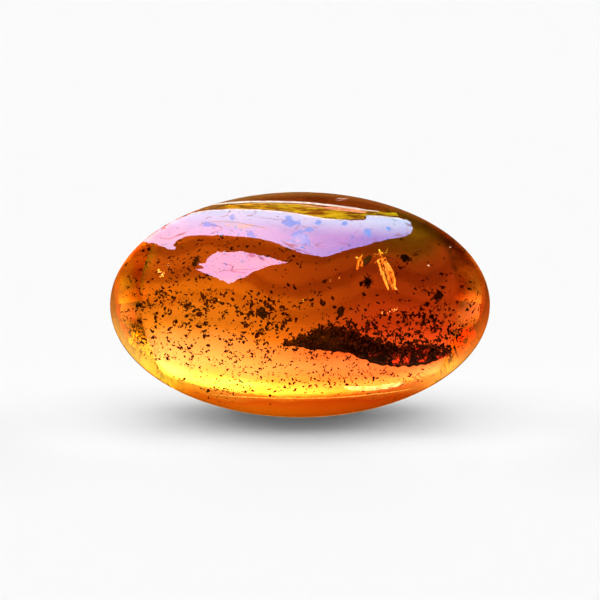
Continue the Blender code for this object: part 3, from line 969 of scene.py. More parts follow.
def buildInsect():
    draw = random.Random(insect["seed"])
    bm = bmesh.new()
    addBall(bm, (0, 0, 0), (0.27, 0.25, 0.36), 3, None, 0.12, 1)
    for ring in range(8):
        t = ring / 7
        width = 0.22 * math.sqrt(max(0.05, 1 - (2 * t - 0.85) ** 2 * 0.8))
        addBall(bm, (0.03, 0.05, -0.28 - 1.12 * t), (width, width * 0.9, 0.13), 2)
    addBall(bm, (0, 0, 0.50), (0.20, 0.18, 0.19), 3, None, 0.10, 3)
    addTube(bm, [(0.01, -0.02, 0.56), (0.01, -0.02, 0.76), (0.01, -0.02, 0.91)], [0.13, 0.08, 0.03], 10)
    for side in (-1, 1):
        addBall(bm, (0.16 * side, -0.04, 0.52), (0.10, 0.11, 0.12), 3)
        addBall(bm, (0.27 * side, -0.08, 0.08), (0.15, 0.11, 0.15), 2)
        feeler = bowed((0.05 * side, -0.05, 0.58), (0.34 * side, -0.16, 0.82), (0.60 * side, -0.22, 0.38), 18)
        thick = [0.024 - 0.0008 * step + 0.004 * (step % 2) for step in range(19)]
        addTube(bm, feeler, thick, 6)
        for hip, knee, foot in insect["legs"]:
            points = [Vector((x * side, y, z)) for x, y, z in (hip, knee, foot)]
            leg = bowed(*points, 10)
            addTube(bm, leg, [0.042, 0.044, 0.040, 0.034, 0.036, 0.028, 0.026, 0.022, 0.020, 0.018, 0.014], 6)
            for joint in leg[3:]:
                for turn in (0, 2.1, 4.2):
                    out = Vector((math.cos(turn), math.sin(turn), -0.4)) * 0.07
                    addTube(bm, [joint, joint + out], [0.007, 0.002], 3)
    addBristles(bm, draw)
    placed(bm, insectMatrix())
    body = meshObject("goldenInsect", bm, bodyMaterial())
    wings = bmesh.new()
    for wing in insect["wings"]:
        addWing(wings, wing)
        addVeins(wings, wing)
    placed(wings, insectMatrix())
    sheet = meshObject("insectWings", wings, wingMaterial())
    finished(body, "insect", "winged_insect")
    finished(sheet, "insect", "winged_insect")


buildInsect()
print("insect made")

# Seed husk with its stalk, the tuft of hair under it and five flakes of bark
husk = {
    "middle": (5.02, -4.0, 12.62),
    "radii": (0.21, 0.17, 0.58),
    "lean": 47,      # degrees
}


def huskMaterial():
    material, tree, shader = newMaterial("seedHusk")
    place = objectPlace(tree)
    parts = addNode(tree, "ShaderNodeSeparateXYZ", {0: place})
    mottle = noiseOf(tree, place, 3.0, 5.0, 0.65)
    fine = noiseOf(tree, place, 16.0, 3.0, 0.6)
    dark = ramp(tree, mottle, [(0.30, (0.003, 0.002, 0.001)), (0.60, (0.009, 0.006, 0.003)),
                               (0.80, (0.07, 0.03, 0.01))])
    gold = ramp(tree, mottle, [(0.30, (0.08, 0.03, 0.008)), (0.50, (0.40, 0.17, 0.04)),
                               (0.70, (0.80, 0.45, 0.12))])
    # gold on the stalk only
    colour = mixed(tree, spread(tree, parts.outputs[0], 4.86, 4.62), dark, gold)
    colour = mixed(tree, spread(tree, fine, 0.4, 0.7, 0.5, 0.0), colour, (0.01, 0.005, 0.002))
    tree.links.new(colour, shader.inputs["Base Color"])
    shader.inputs["Roughness"].default_value = 0.5
    shader.inputs["Specular IOR Level"].default_value = 0.12
    bumped(tree, shader, fine, 0.6, 0.03 * mm)
    return material


def buildHusk():
    bm = bmesh.new()
    turn = Matrix.Rotation(math.radians(husk["lean"]), 3, "Y")
    middle = Vector(husk["middle"])
    for vertex in addBall(bm, (0, 0, 0), (1, 1, 1), 4):
        place = Vector(vertex.co)
        rib = 1 + 0.07 * math.cos(9 * math.atan2(place.y, place.x)) * (1 - abs(place.z))
        seam = 0.28 * math.exp(-(place.x / 0.16) ** 2) if place.y < 0 else 0.0
        rough = 1 + 0.09 * noise.noise(place * 3.3)
        place = Vector((place.x * rib * rough, place.y * rib * rough + seam, place.z * rough))
        place = Vector(a * b for a, b in zip(place, husk["radii"]))
        vertex.co = turn @ place + middle
    stalk = bowed((-0.16, 0.02, 0.50), (-0.62, -0.14, 0.10), (-0.70, 0.02, -0.60), 22)
    thick = [0.05 + 0.04 * t / 22 + 0.018 * math.sin(t * 1.9) for t in range(23)]
    addTube(bm, [point + middle for point in stalk], thick, 9)
    addTube(bm, [middle + Vector((-0.45, -0.06, 0.06)), middle + Vector((-0.05, 0, -0.06))], [0.05, 0.05], 6)
    for number in range(26):
        t = number / 26
        root = stalk[int(t * 22)] + middle
        out = Vector((math.cos(number * 2.4), math.sin(number * 2.4), 0.2)) * 0.16
        addTube(bm, [root, root + out * 0.6, root + out], [0.010, 0.007, 0.002], 3)
    bmesh.ops.scale(bm, vec=(mm, mm, mm), verts=bm.verts)
    return finished(meshObject("seedHusk", bm, huskMaterial()), "husk", "seed_husk")


tuft = {
    "middle": (5.08, -4.0, 11.17),
    "hairs": 90,
    "reach": 0.60,
    "seed": 21,
}


def buildTuft():
    draw = random.Random(tuft["seed"])
    bm = bmesh.new()
    addBall(bm, (0, 0, 0), (0.26, 0.18, 0.20), 3, None, 0.6, 4)
    for number in range(tuft["hairs"]):
        out = Vector([draw.gauss(0, 1), draw.gauss(0, 0.8), draw.gauss(0, 1)]).normalized()
        reach = tuft["reach"] * draw.uniform(0.45, 1.0)
        side = out.orthogonal().normalized() * draw.uniform(-0.14, 0.14)
        line = [out * 0.1, out * reach * 0.5 + side, out * reach]
        addTube(bm, bowed(*line, 4), [0.045, 0.034, 0.026, 0.016, 0.005], 4)
    placed(bm, Matrix.Translation(Vector(tuft["middle"])))
    material = debrisMaterial("hairTuft", (0.006, 0.004, 0.002), (0.02, 0.012, 0.004), (0.07, 0.03, 0.01))
    return finished(meshObject("hairTuft", bm, material), "debris", "hair_tuft")


barkFlakes = [
    # x, z, width, height in mm, lean in degrees
    (-8.02, 12.68, 0.42, 0.82, 22),
    (-2.82, 9.25, 0.55, 0.62, -10),
    (10.60, 10.34, 0.85, 0.46, -24),
    (3.02, 9.34, 0.50, 0.72, 30),
    (8.14, 12.96, 0.74, 0.56, 12),
]


def buildBarkFlakes():
    material = debrisMaterial("barkFlake", (0.012, 0.01, 0.003), (0.07, 0.055, 0.01), (0.2, 0.12, 0.02), 3.0)
    for number, (x, z, width, height, lean) in enumerate(barkFlakes, start=1):
        bm = bmesh.new()
        for vertex in addBall(bm, (0, 0, 0), (1, 1, 1), 4):
            place = Vector(vertex.co)
            turn = math.atan2(place.z, place.x)
            around = Vector((math.cos(turn), math.sin(turn), 0))
            ragged = 1 + 0.45 * noise.noise(around * 1.9 + Vector((0, 0, number * 7.3)))
            ragged += 0.28 * noise.noise(around * 5 + Vector((0, 0, number * 3.1)))
            layer = 0.09 * (1 + 0.5 * noise.noise(place * 2.6 + Vector((number, 0, 0))))
            bow = 0.06 * (1 - place.x ** 2)
            pit = 0.02 * noise.noise(place * 9)
            vertex.co = (place.x * ragged * width / 2, place.y * layer + bow + pit,
                         place.z * ragged * height / 2)
        placed(bm, Matrix.Translation((x, layerY / mm, z)) @ Matrix.Rotation(math.radians(lean), 4, "Y"))
        finished(meshObject(f"barkFlake{number}", bm, material), "debris", f"bark_flake_{number}")


buildHusk()
buildTuft()
buildBarkFlakes()
print("husk, tuft and bark flakes made")

# Pale crumbs and gold leaf-like flakes that catch the light, with a faint glow that paints their glints
glints = {
    "seed": 14,
    "behindSkin": 0.9 * mm,     # least depth, so that none breaks the polish
    # the crumbs' emission, a painted glint: colour and strength
    "glow": ((0.8, 1.0, 1.0), 1.2),
    # x, y, depth behind the layer in mm, size in mm
    "places": [
        (160, 271, 0, 0.34), (163, 275, 0, 0.30), (161, 276, 0, 0.28), (158, 272, 0, 0.22),
        (168, 264, 0, 0.16), (383, 314, 0, 0.26), (388, 312, 0, 0.30), (393, 310, 0, 0.28),
        (397, 308.5, 0, 0.16), (303.5, 301, 0, 0.16), (428.5, 265.5, 0, 0.30), (450.5, 247, 0, 0.20),
        (381, 274, -1.2, 0.16), (396, 288, -0.8, 0.18), (339, 278, 0, 0.12), (330, 281, 0, 0.12),
        (219, 300, 0, 0.12), (357, 258, 0, 0.22), (358, 266, 0, 0.20),
    ],
}


def buildGlints():
    draw = random.Random(glints["seed"])
    cloud = []
    for x, y, behind, size in glints["places"]:
        place = placeInside(x, y, max(layerY + behind * mm, skinAt(x, y)[0].y + glints["behindSkin"]))
        for part in range(3):
            shift = Vector([draw.gauss(0, size * 0.22) * mm for axis in range(3)])
            cloud.append((place + shift, size * draw.uniform(0.5, 0.9) * mm))
    shapes = shapeGroup("glintShape", [makeChip, makeFlake, makeShard, makeChip], 2)
    material = debrisMaterial("paleCrumb", (0.35, 0.2, 0.08), (0.9, 0.75, 0.5), (1.0, 0.95, 0.85), 5.0, 0.8)
    shader = material.node_tree.nodes["Principled BSDF"]
    # the crumbs glow faintly, a painted glint
    paintedGlintColour, paintedGlintStrength = glints["glow"]
    shader.inputs["Emission Color"].default_value = (*paintedGlintColour, 1)
    shader.inputs["Emission Strength"].default_value = paintedGlintStrength
    piece = scattered("paleCrumbs", cloud, shapes, material, 6)
    return finished(piece, "husk")


buildGlints()
print("pale crumbs made")

# Cards of light that only the stone's mirror-like skin shows: a bright window and what stands before it
windows = {
    "seed": 3,                    # of the ragged edges
    "silhouette": (190, 112),     # half width and height of the stone in the photograph
    "reach": 500 * mm,
    "grid": 7,                    # spacing of the cards' inner points, in the photograph's pixels
    "main": [
        (194, 213), (175, 220), (160, 229), (150, 236), (142, 242), (154, 243), (160, 245.6),
        (169, 249.6), (175, 249.6), (175.6, 248), (173, 245.6), (177, 240.4), (186, 236), (198, 235),
        (218, 235), (238, 236), (258, 238.4), (278, 243), (288, 248), (302, 253), (322, 257), (332, 255),
        (350, 249), (368, 245), (374, 242.4), (390, 239), (406, 236), (411, 233), (412.4, 228),
        (410, 222), (406, 219.6), (398, 218.4), (380, 216.6), (368, 215.6), (366, 220), (348, 220.6),
        (326, 219.6), (320, 218.4), (310, 217), (296, 214), (278, 211.6), (258, 210.4), (234, 210),
        (210, 210.8),
    ],
    "leaf": [
        (218, 251.6), (224, 252), (242, 251.6), (254, 253.6), (270, 257.6), (288, 262.4), (270, 265.6),
        (258, 270), (246, 276), (230, 283), (224, 281), (212, 276), (204, 273), (195, 269.6),
        (203, 268.4), (204, 267), (198, 263.6), (206, 263), (207, 259), (212, 255), (216, 253.4),
    ],
    "moss": [
        (206, 208.5), (210, 206.6), (242, 204.4), (282, 204.4), (310, 206), (330, 207.4), (366, 210.4),
        (396, 213), (400, 216), (390, 216.4), (368, 214.4), (364, 219), (348, 219.4), (326, 218.4),
        (310, 215.6), (296, 212.4), (278, 210.2), (258, 209), (234, 208.8),
    ],
    # patches of sky in the window: x, y, half width, half height
    "skyPatches": [
        (210, 224.5, 7, 2.6), (232, 217, 3.4, 3.4), (252, 233, 4, 4.4), (291, 221.5, 9, 4.6),
        (300, 238, 9, 8.5), (318, 223, 4, 2.6), (308, 229, 6, 3), (367, 232, 4, 4), (388, 229, 3, 2),
        (345, 223, 3, 2),
    ],
    "beigePatch": (242, 226, 15, 3.4),
    "glitter": ("bandLeft", "bandRight"),     # ribbons that sparkle instead of shining evenly
    # what the two ends mirror, from the upper part down
    "leftEnd": [(0.0, (0.35, 0.07, 0.003)), (0.25, (0.55, 0.16, 0.02)), (0.50, (0.90, 0.40, 0.07)),
                (0.70, (0.85, 0.50, 0.07)), (0.85, (0.70, 0.45, 0.02)), (1.0, (0.3, 0.10, 0.002))],
    "rightEnd": [(0.0, (0.15, 0.03, 0.002)), (0.25, (0.40, 0.05, 0.004)), (0.50, (0.70, 0.13, 0.01)),
                 (0.62, (0.80, 0.22, 0.03)), (0.75, (0.85, 0.40, 0.06)), (1.0, (0.3, 0.08, 0.002))],
}


ribbons = [
    # name, width in pixels, colour, how far nearer than the window, line
    ("whiteLine", 1.7, (0.95, 0.93, 0.85), 0.98, [
        (205, 205.4), (228, 203), (250, 201.7), (272, 201.6), (294, 202.2), (312, 203.3), (330, 205.2),
        (350, 207.8), (368, 210.2), (380, 211.6)]),
    ("underLine", 0.8, (0.9, 0.6, 0.1), 0.98, [(232, 204.4), (262, 203.7), (294, 204.2), (322, 206.4)]),
    ("whiteRim", 1.5, (0.95, 0.97, 1.0), 0.97, [
        (190, 213.6), (200, 211.8), (212, 210.4), (234, 209.7), (258, 210.2), (278, 211.4), (296, 213.7),
        (310, 216.7), (326, 219.2), (348, 220.0)]),
    ("rightRim", 1.5, (0.9, 0.93, 1.0), 0.97, [(366, 216.2), (382, 216.6), (398, 218.4), (407, 220.8)]),
    ("salmonStreak", 3.0, (0.85, 0.36, 0.16), 0.96, [
        (324, 207.4), (342, 209.2), (356, 210.8), (367, 212.4)]),
    ("scribbleA", 0.9, (0.55, 0.36, 0.3), 0.98, [(335, 199.6), (339, 198.2), (343, 198.8), (348, 197.8)]),
    ("scribbleB", 0.7, (0.5, 0.3, 0.25), 0.98, [(336, 200.6), (342, 200.2), (347, 199.6)]),
    ("baseLine", 1.1, (0.55, 0.36, 0.05), 0.97, [
        (212, 394.5), (240, 396.8), (270, 398), (300, 398.4), (330, 397.8), (360, 395.8), (390, 392.4),
        (418, 387.6)]),
    ("bandLeft", 4.0, (0.3, 0.75, 0.1), 0.96, [
        (206, 380), (222, 381.2), (240, 382.6), (258, 384.4), (272, 385.4)]),
    ("bandRight", 4.6, (0.3, 0.8, 0.3), 0.96, [
        (344, 387), (358, 388.6), (372, 388.2), (388, 386.4), (404, 383)]),
    ("crownEdge", 0.7, (0.75, 0.32, 0.22), 0.95, [(300, 205.4), (330, 208.2), (352, 210.9)]),
    ("edgeLineA", 0.6, (0.1, 0.04, 0.1), 0.95, [
        (281, 240.6), (288, 244.5), (296, 248.6), (304, 251.4), (312, 253.6)]),
    ("edgeLineB", 0.5, (0.1, 0.04, 0.1), 0.94, [(284, 243), (292, 248), (300, 251.8)]),
    ("curlLineA", 0.6, (0.22, 0.05, 0.06), 0.95, [
        (161, 238), (168, 239), (175, 236.5), (181, 233.5), (188, 231.5)]),
    ("curlLineB", 0.5, (0.22, 0.05, 0.06), 0.94, [(173, 237), (180, 234.8), (187, 232.6)]),
    ("oliveLine", 0.6, (0.42, 0.36, 0.26), 0.95, [
        (204, 222.3), (222, 221.6), (240, 222.8), (256, 226), (272, 230)]),
    ("leafLine", 0.7, (0.45, 0.22, 0.38), 0.95, [
        (215, 273), (224, 270.5), (238, 269.5), (252, 269.6), (262, 267)]),
    ("dotRight", 2.4, (1.0, 0.85, 0.65), 0.95, [(427.3, 265.5), (429.7, 265.5)]),
    ("dotRim", 2.2, (1.0, 0.85, 0.65), 0.95, [(449.4, 247.3), (451.4, 247.3)]),
    ("dotWingTip", 1.8, (1.0, 1.0, 0.4), 0.95, [(395.2, 288), (396.8, 288.1)]),
    ("dotWing", 1.5, (0.95, 0.8, 0.2), 0.95, [(380.5, 274), (381.7, 274.2)]),
    ("creamA", 1.7, (0.95, 0.75, 0.5), 0.95, [(156.6, 269.6), (159.2, 272.6)]),
    ("creamB", 1.8, (0.95, 0.8, 0.6), 0.95, [(161, 275.4), (163.4, 272.8)]),
    ("creamC", 1.1, (0.85, 0.55, 0.35), 0.95, [(166.5, 264.2), (168.6, 265.6)]),
]


def ribbonOutline(line, width):
    line = [Vector(point) for point in finelyStepped(line, 4, closed=False)]
    left, right = [], []
    for index, point in enumerate(line):
        ahead = line[min(index + 1, len(line) - 1)] - line[max(index - 1, 0)]
        across = Vector((-ahead.y, ahead.x)).normalized()
        share = index / (len(line) - 1)
        half = width / 2 * min(1.0, 0.25 + 5 * share, 0.25 + 5 * (1 - share))
        left.append(tuple(point + across * half))
        right.append(tuple(point - across * half))
    return left + right[::-1]


def fresnelAt(x, y):
    # share of light that the stone's skin mirrors at a pixel
    place, facing, direction = skinAt(x, y)
    cosine = -direction.dot(facing)
    inner = math.sqrt(1 - (1 - cosine * cosine) / amberIor ** 2)
    flat = (cosine - amberIor * inner) / (cosine + amberIor * inner)
    upright = (inner - amberIor * cosine) / (inner + amberIor * cosine)
    return (flat * flat + upright * upright) / 2


def onStone(x, y):
    # the pixel itself, or the nearest one towards the middle that shows the stone
    middleX, middleY = photo["middle"]
    for step in range(200):
        pull = 1 - step * 0.002
        nearX, nearY = middleX + (x - middleX) * pull, middleY + (y - middleY) * pull
        if meetsStone(cameraStart(), cameraRay(nearX, nearY)) is not None:
            return nearX, nearY
    raise ValueError(f"no stone near {x}, {y}")


def finelyStepped(outline, step, closed=True):
    line = []
    following = outline[1:] + outline[:1] if closed else outline[1:]
    for first, second in zip(outline, following):
        length = math.dist(first, second)
        parts = max(1, round(length / step))
        line += [tuple(a + (b - a) * part / parts for a, b in zip(first, second)) for part in range(parts)]
    return line if closed else line + [outline[-1]]


def onlySeenBy(piece, ray):
    for kind in ("camera", "diffuse", "glossy", "transmission", "volume_scatter", "shadow"):
        setattr(piece, "visible_" + kind, kind == ray)


def lightCard(name, outline, material, nearer=1.0, ragged=0.0):
    rim = []
    for x, y in finelyStepped(outline, 1.5 if ragged else 3):
        shift = noise.noise_vector(Vector((x / 2.3, y / 2.3, 1.7))) * ragged
        rim.append(Vector((x + shift.x, y + shift.y)))
    inner = []
    lowX, highX = min(p.x for p in rim), max(p.x for p in rim)
    lowY, highY = min(p.y for p in rim), max(p.y for p in rim)
    step = windows["grid"]
    for column in range(int((highX - lowX) / step) + 1):
        for row in range(int((highY - lowY) / step) + 1):
            inner.append(Vector((lowX + (column + 0.5) * step, lowY + (row + 0.5) * step)))
    edges = [(index, (index + 1) % len(rim)) for index in range(len(rim))]
    points, _, faces, *_ = delaunay_2d_cdt(rim + inner, edges, [], 1, 0.01)
    mesh = bpy.data.meshes.new(name)
    seen = [onStone(point.x, point.y) for point in points]
    mesh.from_pydata([placeMirrored(x, y, windows["reach"] * nearer) for x, y in seen], [], faces)
    mapped = mesh.uv_layers.new(name="photoPlace")
    for loop in mesh.loops:
        x, y = points[loop.vertex_index]
        mapped.data[loop.index].uv = (x / 100, y / 100)
    boost = mesh.attributes.new("boost", "FLOAT", "POINT")
    boost.data.foreach_set("value", [1 / fresnelAt(x, y) for x, y in seen])
    mesh.materials.append(material)
    card = bpy.data.objects.new(name, mesh)
    scene.collection.objects.link(card)
    onlySeenBy(card, "glossy")
    return card


def cardMaterial(name, colourOf):
    material = bpy.data.materials.new(name)
    material.use_nodes = True
    tree = material.node_tree
    tree.nodes.clear()
    mapped = addNode(tree, "ShaderNodeUVMap", uv_map="photoPlace")
    parts = addNode(tree, "ShaderNodeSeparateXYZ", {0: mapped.outputs[0]})
    boost = addNode(tree, "ShaderNodeAttribute", attribute_name="boost")
    glow = addNode(tree, "ShaderNodeEmission", {
        "Color": colourOf(tree, mapped.outputs[0], parts.outputs[0], parts.outputs[1]),
        "Strength": boost.outputs["Fac"]})
    output = addNode(tree, "ShaderNodeOutputMaterial")
    tree.links.new(glow.outputs[0], output.inputs["Surface"])
    return material


def patchDistance(tree, place, x, y, wide, tall):
    # 0 in the middle of a patch given in pixels and 1 at its rim
    scale = (100 / wide, 100 / tall, 0)
    moved = addNode(tree, "ShaderNodeVectorMath", {0: place, 1: scale, 2: (-x / wide, -y / tall, 0)},
                    operation="MULTIPLY_ADD")
    return addNode(tree, "ShaderNodeVectorMath", {0: moved.outputs[0]}, operation="LENGTH").outputs["Value"]


def mainColour(tree, place, x, y):
    # lilac on the left, violet on the right, whitish blue towards the upper rim, with patches of sky
    low = mixed(tree, spread(tree, x, 2.3, 3.7), (0.48, 0.48, 0.84), (0.26, 0.24, 0.68))
    low = mixed(tree, spread(tree, x, 2.0, 1.55), low, (0.56, 0.47, 0.72))
    sloped = maths(tree, "SUBTRACT", y, spread(tree, x, 2.6, 3.7, 0.0, 0.07))
    colour = mixed(tree, spread(tree, sloped, 2.33, 2.12), low, (0.52, 0.68, 0.97))
    stretched = addNode(tree, "ShaderNodeVectorMath", {0: place, 1: (0.6, 1.1, 1.0)}, operation="MULTIPLY")
    ragged = noiseOf(tree, stretched.outputs[0], 16.0, 5.0, 0.65)
    nearest = None
    for patch in windows["skyPatches"]:
        away = patchDistance(tree, place, *patch)
        nearest = away if nearest is None else maths(tree, "MINIMUM", nearest, away)
    edge = maths(tree, "ADD", nearest, spread(tree, ragged, 0.3, 0.7, -0.9, 0.9, smooth=False))
    colour = mixed(tree, spread(tree, edge, 0.92, 0.78, 0.0, 0.85), colour, (0.02, 0.34, 0.92))
    beige = maths(tree, "ADD", patchDistance(tree, place, *windows["beigePatch"]),
                  spread(tree, ragged, 0.3, 0.7, -0.5, 0.5, smooth=False))
    colour = mixed(tree, spread(tree, beige, 1.0, 0.5, 0.0, 0.8), colour, (0.75, 0.55, 0.52))
    haze = noiseOf(tree, place, 3.1, 2.0)
    colour = mixed(tree, spread(tree, haze, 0.55, 0.75, 0.0, 0.25), colour, (0.80, 0.74, 0.95))
    colour = veined(tree, colour, place, (0.16, 0.08, 0.16), 2.3, 0.03)
    specks = noiseOf(tree, stretched.outputs[0], 40.0, 2.0, 0.5)
    return mixed(tree, spread(tree, specks, 0.67, 0.71, 0.0, 0.85), colour, (0.05, 0.03, 0.07))


def leafColour(tree, place, x, y):
    grain = noiseOf(tree, place, 9.0, 3.0)
    colour = mixed(tree, spread(tree, grain, 0.3, 0.7), (0.58, 0.38, 0.70), (0.66, 0.40, 0.64))
    colour = veined(tree, colour, place, (0.30, 0.07, 0.22), 1.6, 0.035)
    specks = noiseOf(tree, place, 38.0, 2.0, 0.5)
    return mixed(tree, spread(tree, specks, 0.68, 0.72, 0.0, 0.8), colour, (0.10, 0.02, 0.05))


def veined(tree, colour, place, dark, scale, width):
    # thin wandering lines, much longer along than across
    stretched = addNode(tree, "ShaderNodeVectorMath", {0: place, 1: (0.5, 1.6, 1.0)}, operation="MULTIPLY")
    wander = noiseOf(tree, stretched.outputs[0], scale, 3.0, 0.55)
    distance = maths(tree, "ABSOLUTE", maths(tree, "SUBTRACT", wander, 0.5))
    broken = spread(tree, noiseOf(tree, place, 5.0, 2.0), 0.45, 0.55)
    line = times(tree, spread(tree, distance, width * 0.35, width * 0.1), broken, 0.7)
    return mixed(tree, line, colour, dark)


def mossColour(tree, place, x, y):
    stretched = addNode(tree, "ShaderNodeVectorMath", {0: place, 1: (0.35, 2.4, 1.0)}, operation="MULTIPLY")
    grain = noiseOf(tree, stretched.outputs[0], 14.0, 5.0, 0.7)
    gold = mixed(tree, spread(tree, x, 2.2, 2.9), (0.80, 0.40, 0.01), (0.55, 0.42, 0.01))
    return mixed(tree, spread(tree, grain, 0.42, 0.58), (0.03, 0.03, 0.002), gold)


def crescent(side):
    # outline of the band along one end of the stone's silhouette, in pixels
    middleX, middleY = photo["middle"]
    wide, tall = windows["silhouette"]
    outer, inner = [], []
    for step in range(25):
        turn = math.radians(-42 + 116 * step / 24)
        x, y = math.cos(turn) * wide * side, math.sin(turn) * tall
        outer.append((middleX + x * 0.998, middleY + y * 0.998))
        inner.append((middleX + x * 0.80, middleY + y * 0.86))
    return outer + inner[::-1]


def endColour(tree, place, x, y):
    middleX, middleY = (value / 100 for value in photo["middle"])
    wide, tall = (value / 100 for value in windows["silhouette"])
    across = maths(tree, "DIVIDE", maths(tree, "SUBTRACT", x, middleX), wide)
    upwards = maths(tree, "DIVIDE", maths(tree, "SUBTRACT", y, middleY), tall)
    reach = maths(tree, "ADD", times(tree, across, across), times(tree, upwards, upwards))
    shown = times(tree, spread(tree, reach, 0.78, 0.97), spread(tree, y, 2.55, 2.95),
                  spread(tree, y, 3.98, 3.80))
    down = spread(tree, y, 2.8, 4.0, smooth=False)
    left = ramp(tree, down, windows["leftEnd"])
    right = ramp(tree, down, windows["rightEnd"])
    colour = mixed(tree, spread(tree, x, 2.9, 3.1), left, right)
    return scaledBy(tree, colour, shown)


def ribbonColour(colour, glitters):
    def colourOf(tree, place, x, y):
        if glitters:
            flat = addNode(tree, "ShaderNodeVectorMath", {0: place, 1: (0.5, 2.0, 1.0)}, operation="MULTIPLY")
            grain, least = noiseOf(tree, flat.outputs[0], 34.0, 4.0, 0.7), 0.12
        else:
            grain, least = noiseOf(tree, place, 20.0, 2.0), 0.7
        return mixed(tree, spread(tree, grain, 0.40, 0.60), tuple(c * least for c in colour), colour)
    return colourOf


def buildWindows():
    noise.seed_set(windows["seed"])
    cards = [
        lightCard("windowCard", windows["main"], cardMaterial("windowLight", mainColour), 1.0, 0.7),
        lightCard("leafCard", windows["leaf"], cardMaterial("leafLight", leafColour), 1.0, 1.1),
        lightCard("mossCard", windows["moss"], cardMaterial("mossLight", mossColour), 1.02, 1.0),
    ]
    endLight = cardMaterial("endLight", endColour)
    for name, side in (("leftEndCard", -1), ("rightEndCard", 1)):
        cards.append(lightCard(name, crescent(side), endLight, 1.1))
    for name, width, colour, nearer, line in ribbons:
        material = cardMaterial(name, ribbonColour(colour, name in windows["glitter"]))
        cards.append(lightCard(name, ribbonOutline(line, width), material, nearer))
    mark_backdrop(*cards)


buildWindows()
print("window reflections made")

# Floor, light and camera
light = {
    "floorWhite": 0.8,
    "floorRadius": 3.0,
    "background": 0.956,       # what the open floor comes out at
    "skyShare": 0.06,
    # the floor's soft lamps, in pairs: turn from straight behind, height and width in degrees, share of light
    "softLamps": [(60, 15, 30, 0.175), (0, 28, 30, 0.033), (30, 28, 60, 0.153), (60, 28, 30, 0.033),
                  (90, 28, 30, 0.067), (30, 45, 45, 0.148), (90, 45, 30, 0.08), (90, 62, 50, 0.257)],
    # small lamps close to the floor, that the stone doesn't hold back: x, y, z in mm, share
    "nearLamps": [(8, -14, 11, 0.19), (16, -14, 11, 0.11), (16, -3, 11, 0.26), (10, -3, 4, 0.04)],
    # lamps within the stone: name, place, target and sides in mm, watts, colour, whether for gold things only
    "innerLamps": [
        ("innerKey", (-3.0, -9.4, 13.5), (2.0, -3.5, 9.0), (22, 9), 0.006, (0.75, 0.85, 1.0), False),
        ("innerLow", (5.0, -9.0, 5.0), (3.0, -3.5, 9.0), (20, 5), 0.002, (0.75, 0.85, 1.0), False),
        ("goldKey", (3.0, -9.4, 14.0), (5.8, -4.0, 12.0), (8, 4), 0.030, (0.36, 0.82, 0.72), True),
        ("crumbKey", (-9.0, -6.5, 12.0), (-10.9, -4.0, 12.15), (3, 3), 0.006, (0.4, 0.9, 1.0), True),
    ],
    "goldThings": ("insectWings", "goldenInsect", "paleCrumbs", "seedHusk"),
    "glowLeft": 0.45,          # how strong the window behind the stone is at either end
    "glowRight": 1.0,
    # what the stone's rims mirror, below and above
    "rimLow": (0.80, 0.30, 0.035),
    "rimHigh": (0.10, 0.025, 0.003),
    # how the glow grows with the sine of the height above the horizon
    "glow": [(0.0, 0.0), (0.10, 0.7), (0.25, 1.7), (0.31, 2.0), (0.37, 2.8), (0.41, 6.0), (0.47, 10.0),
             (0.50, 4.0), (0.52, 0.8), (0.56, 0.1), (0.75, 0.15), (1.0, 0.1)],
    # cool lights that only the stone's ends pass on, after a long way through it
    "sideGlow": (0.4, 3.6, 7.0),         # the windows at both sides
    "flankGlow": (2.6, 13.0, 14.0),      # the lamps level with the stone
    "horizonGlow": (5.6, 8.6, 26.0),     # a low strip at both sides
    "panelGlow": (1.8, 5.6, 8.0),        # the sheets on the floor
    "panelFar": (5.2, 14.4, 90.0),       # their far parts
    "panelUnder": (2.6, 15.0, 42.0),     # the part under the stone's right end
    "panelOutline": [(7, -11), (15, -11), (2500, -2000), (2500, 6), (7, 6)],
    "panelHeight": 0.02,
}


def buildFloor():
    bm = bmesh.new()
    bmesh.ops.create_circle(bm, cap_ends=True, segments=96, radius=light["floorRadius"])
    material, tree, shader = newMaterial("paleFloor")
    shader.inputs["Base Color"].default_value = (*(light["floorWhite"],) * 3, 1)
    shader.inputs["Roughness"].default_value = 1.0
    shader.inputs["Specular IOR Level"].default_value = 0.0
    floor = meshObject("floor", bm, material, smooth=False)
    floor.visible_glossy = False
    floor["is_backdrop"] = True
    return floor


def panelMaterial():
    material = bpy.data.materials.new("panelGlow")
    material.use_nodes = True
    tree = material.node_tree
    tree.nodes.clear()
    x, y, _ = addNode(tree, "ShaderNodeSeparateXYZ", {0: objectPlace(tree)}).outputs
    along = maths(tree, "ABSOLUTE", x)
    shown = times(tree, spread(tree, along, 120.0, 14.0, 0.5, 1.0), spread(tree, along, 7.0, 11.0))
    slope = maths(tree, "DIVIDE", y, along)
    far = times(tree, spread(tree, along, 50.0, 130.0), spread(tree, slope, -0.40, -0.48))
    colour = mixed(tree, far, light["panelGlow"], light["panelFar"])
    under = times(tree, spread(tree, x, 7.0, 8.0), spread(tree, x, 16.0, 13.5))
    colour = mixed(tree, under, colour, light["panelUnder"])
    glow = addNode(tree, "ShaderNodeEmission", {"Color": colour, "Strength": shown})
    output = addNode(tree, "ShaderNodeOutputMaterial")
    tree.links.new(glow.outputs[0], output.inputs["Surface"])
    return material


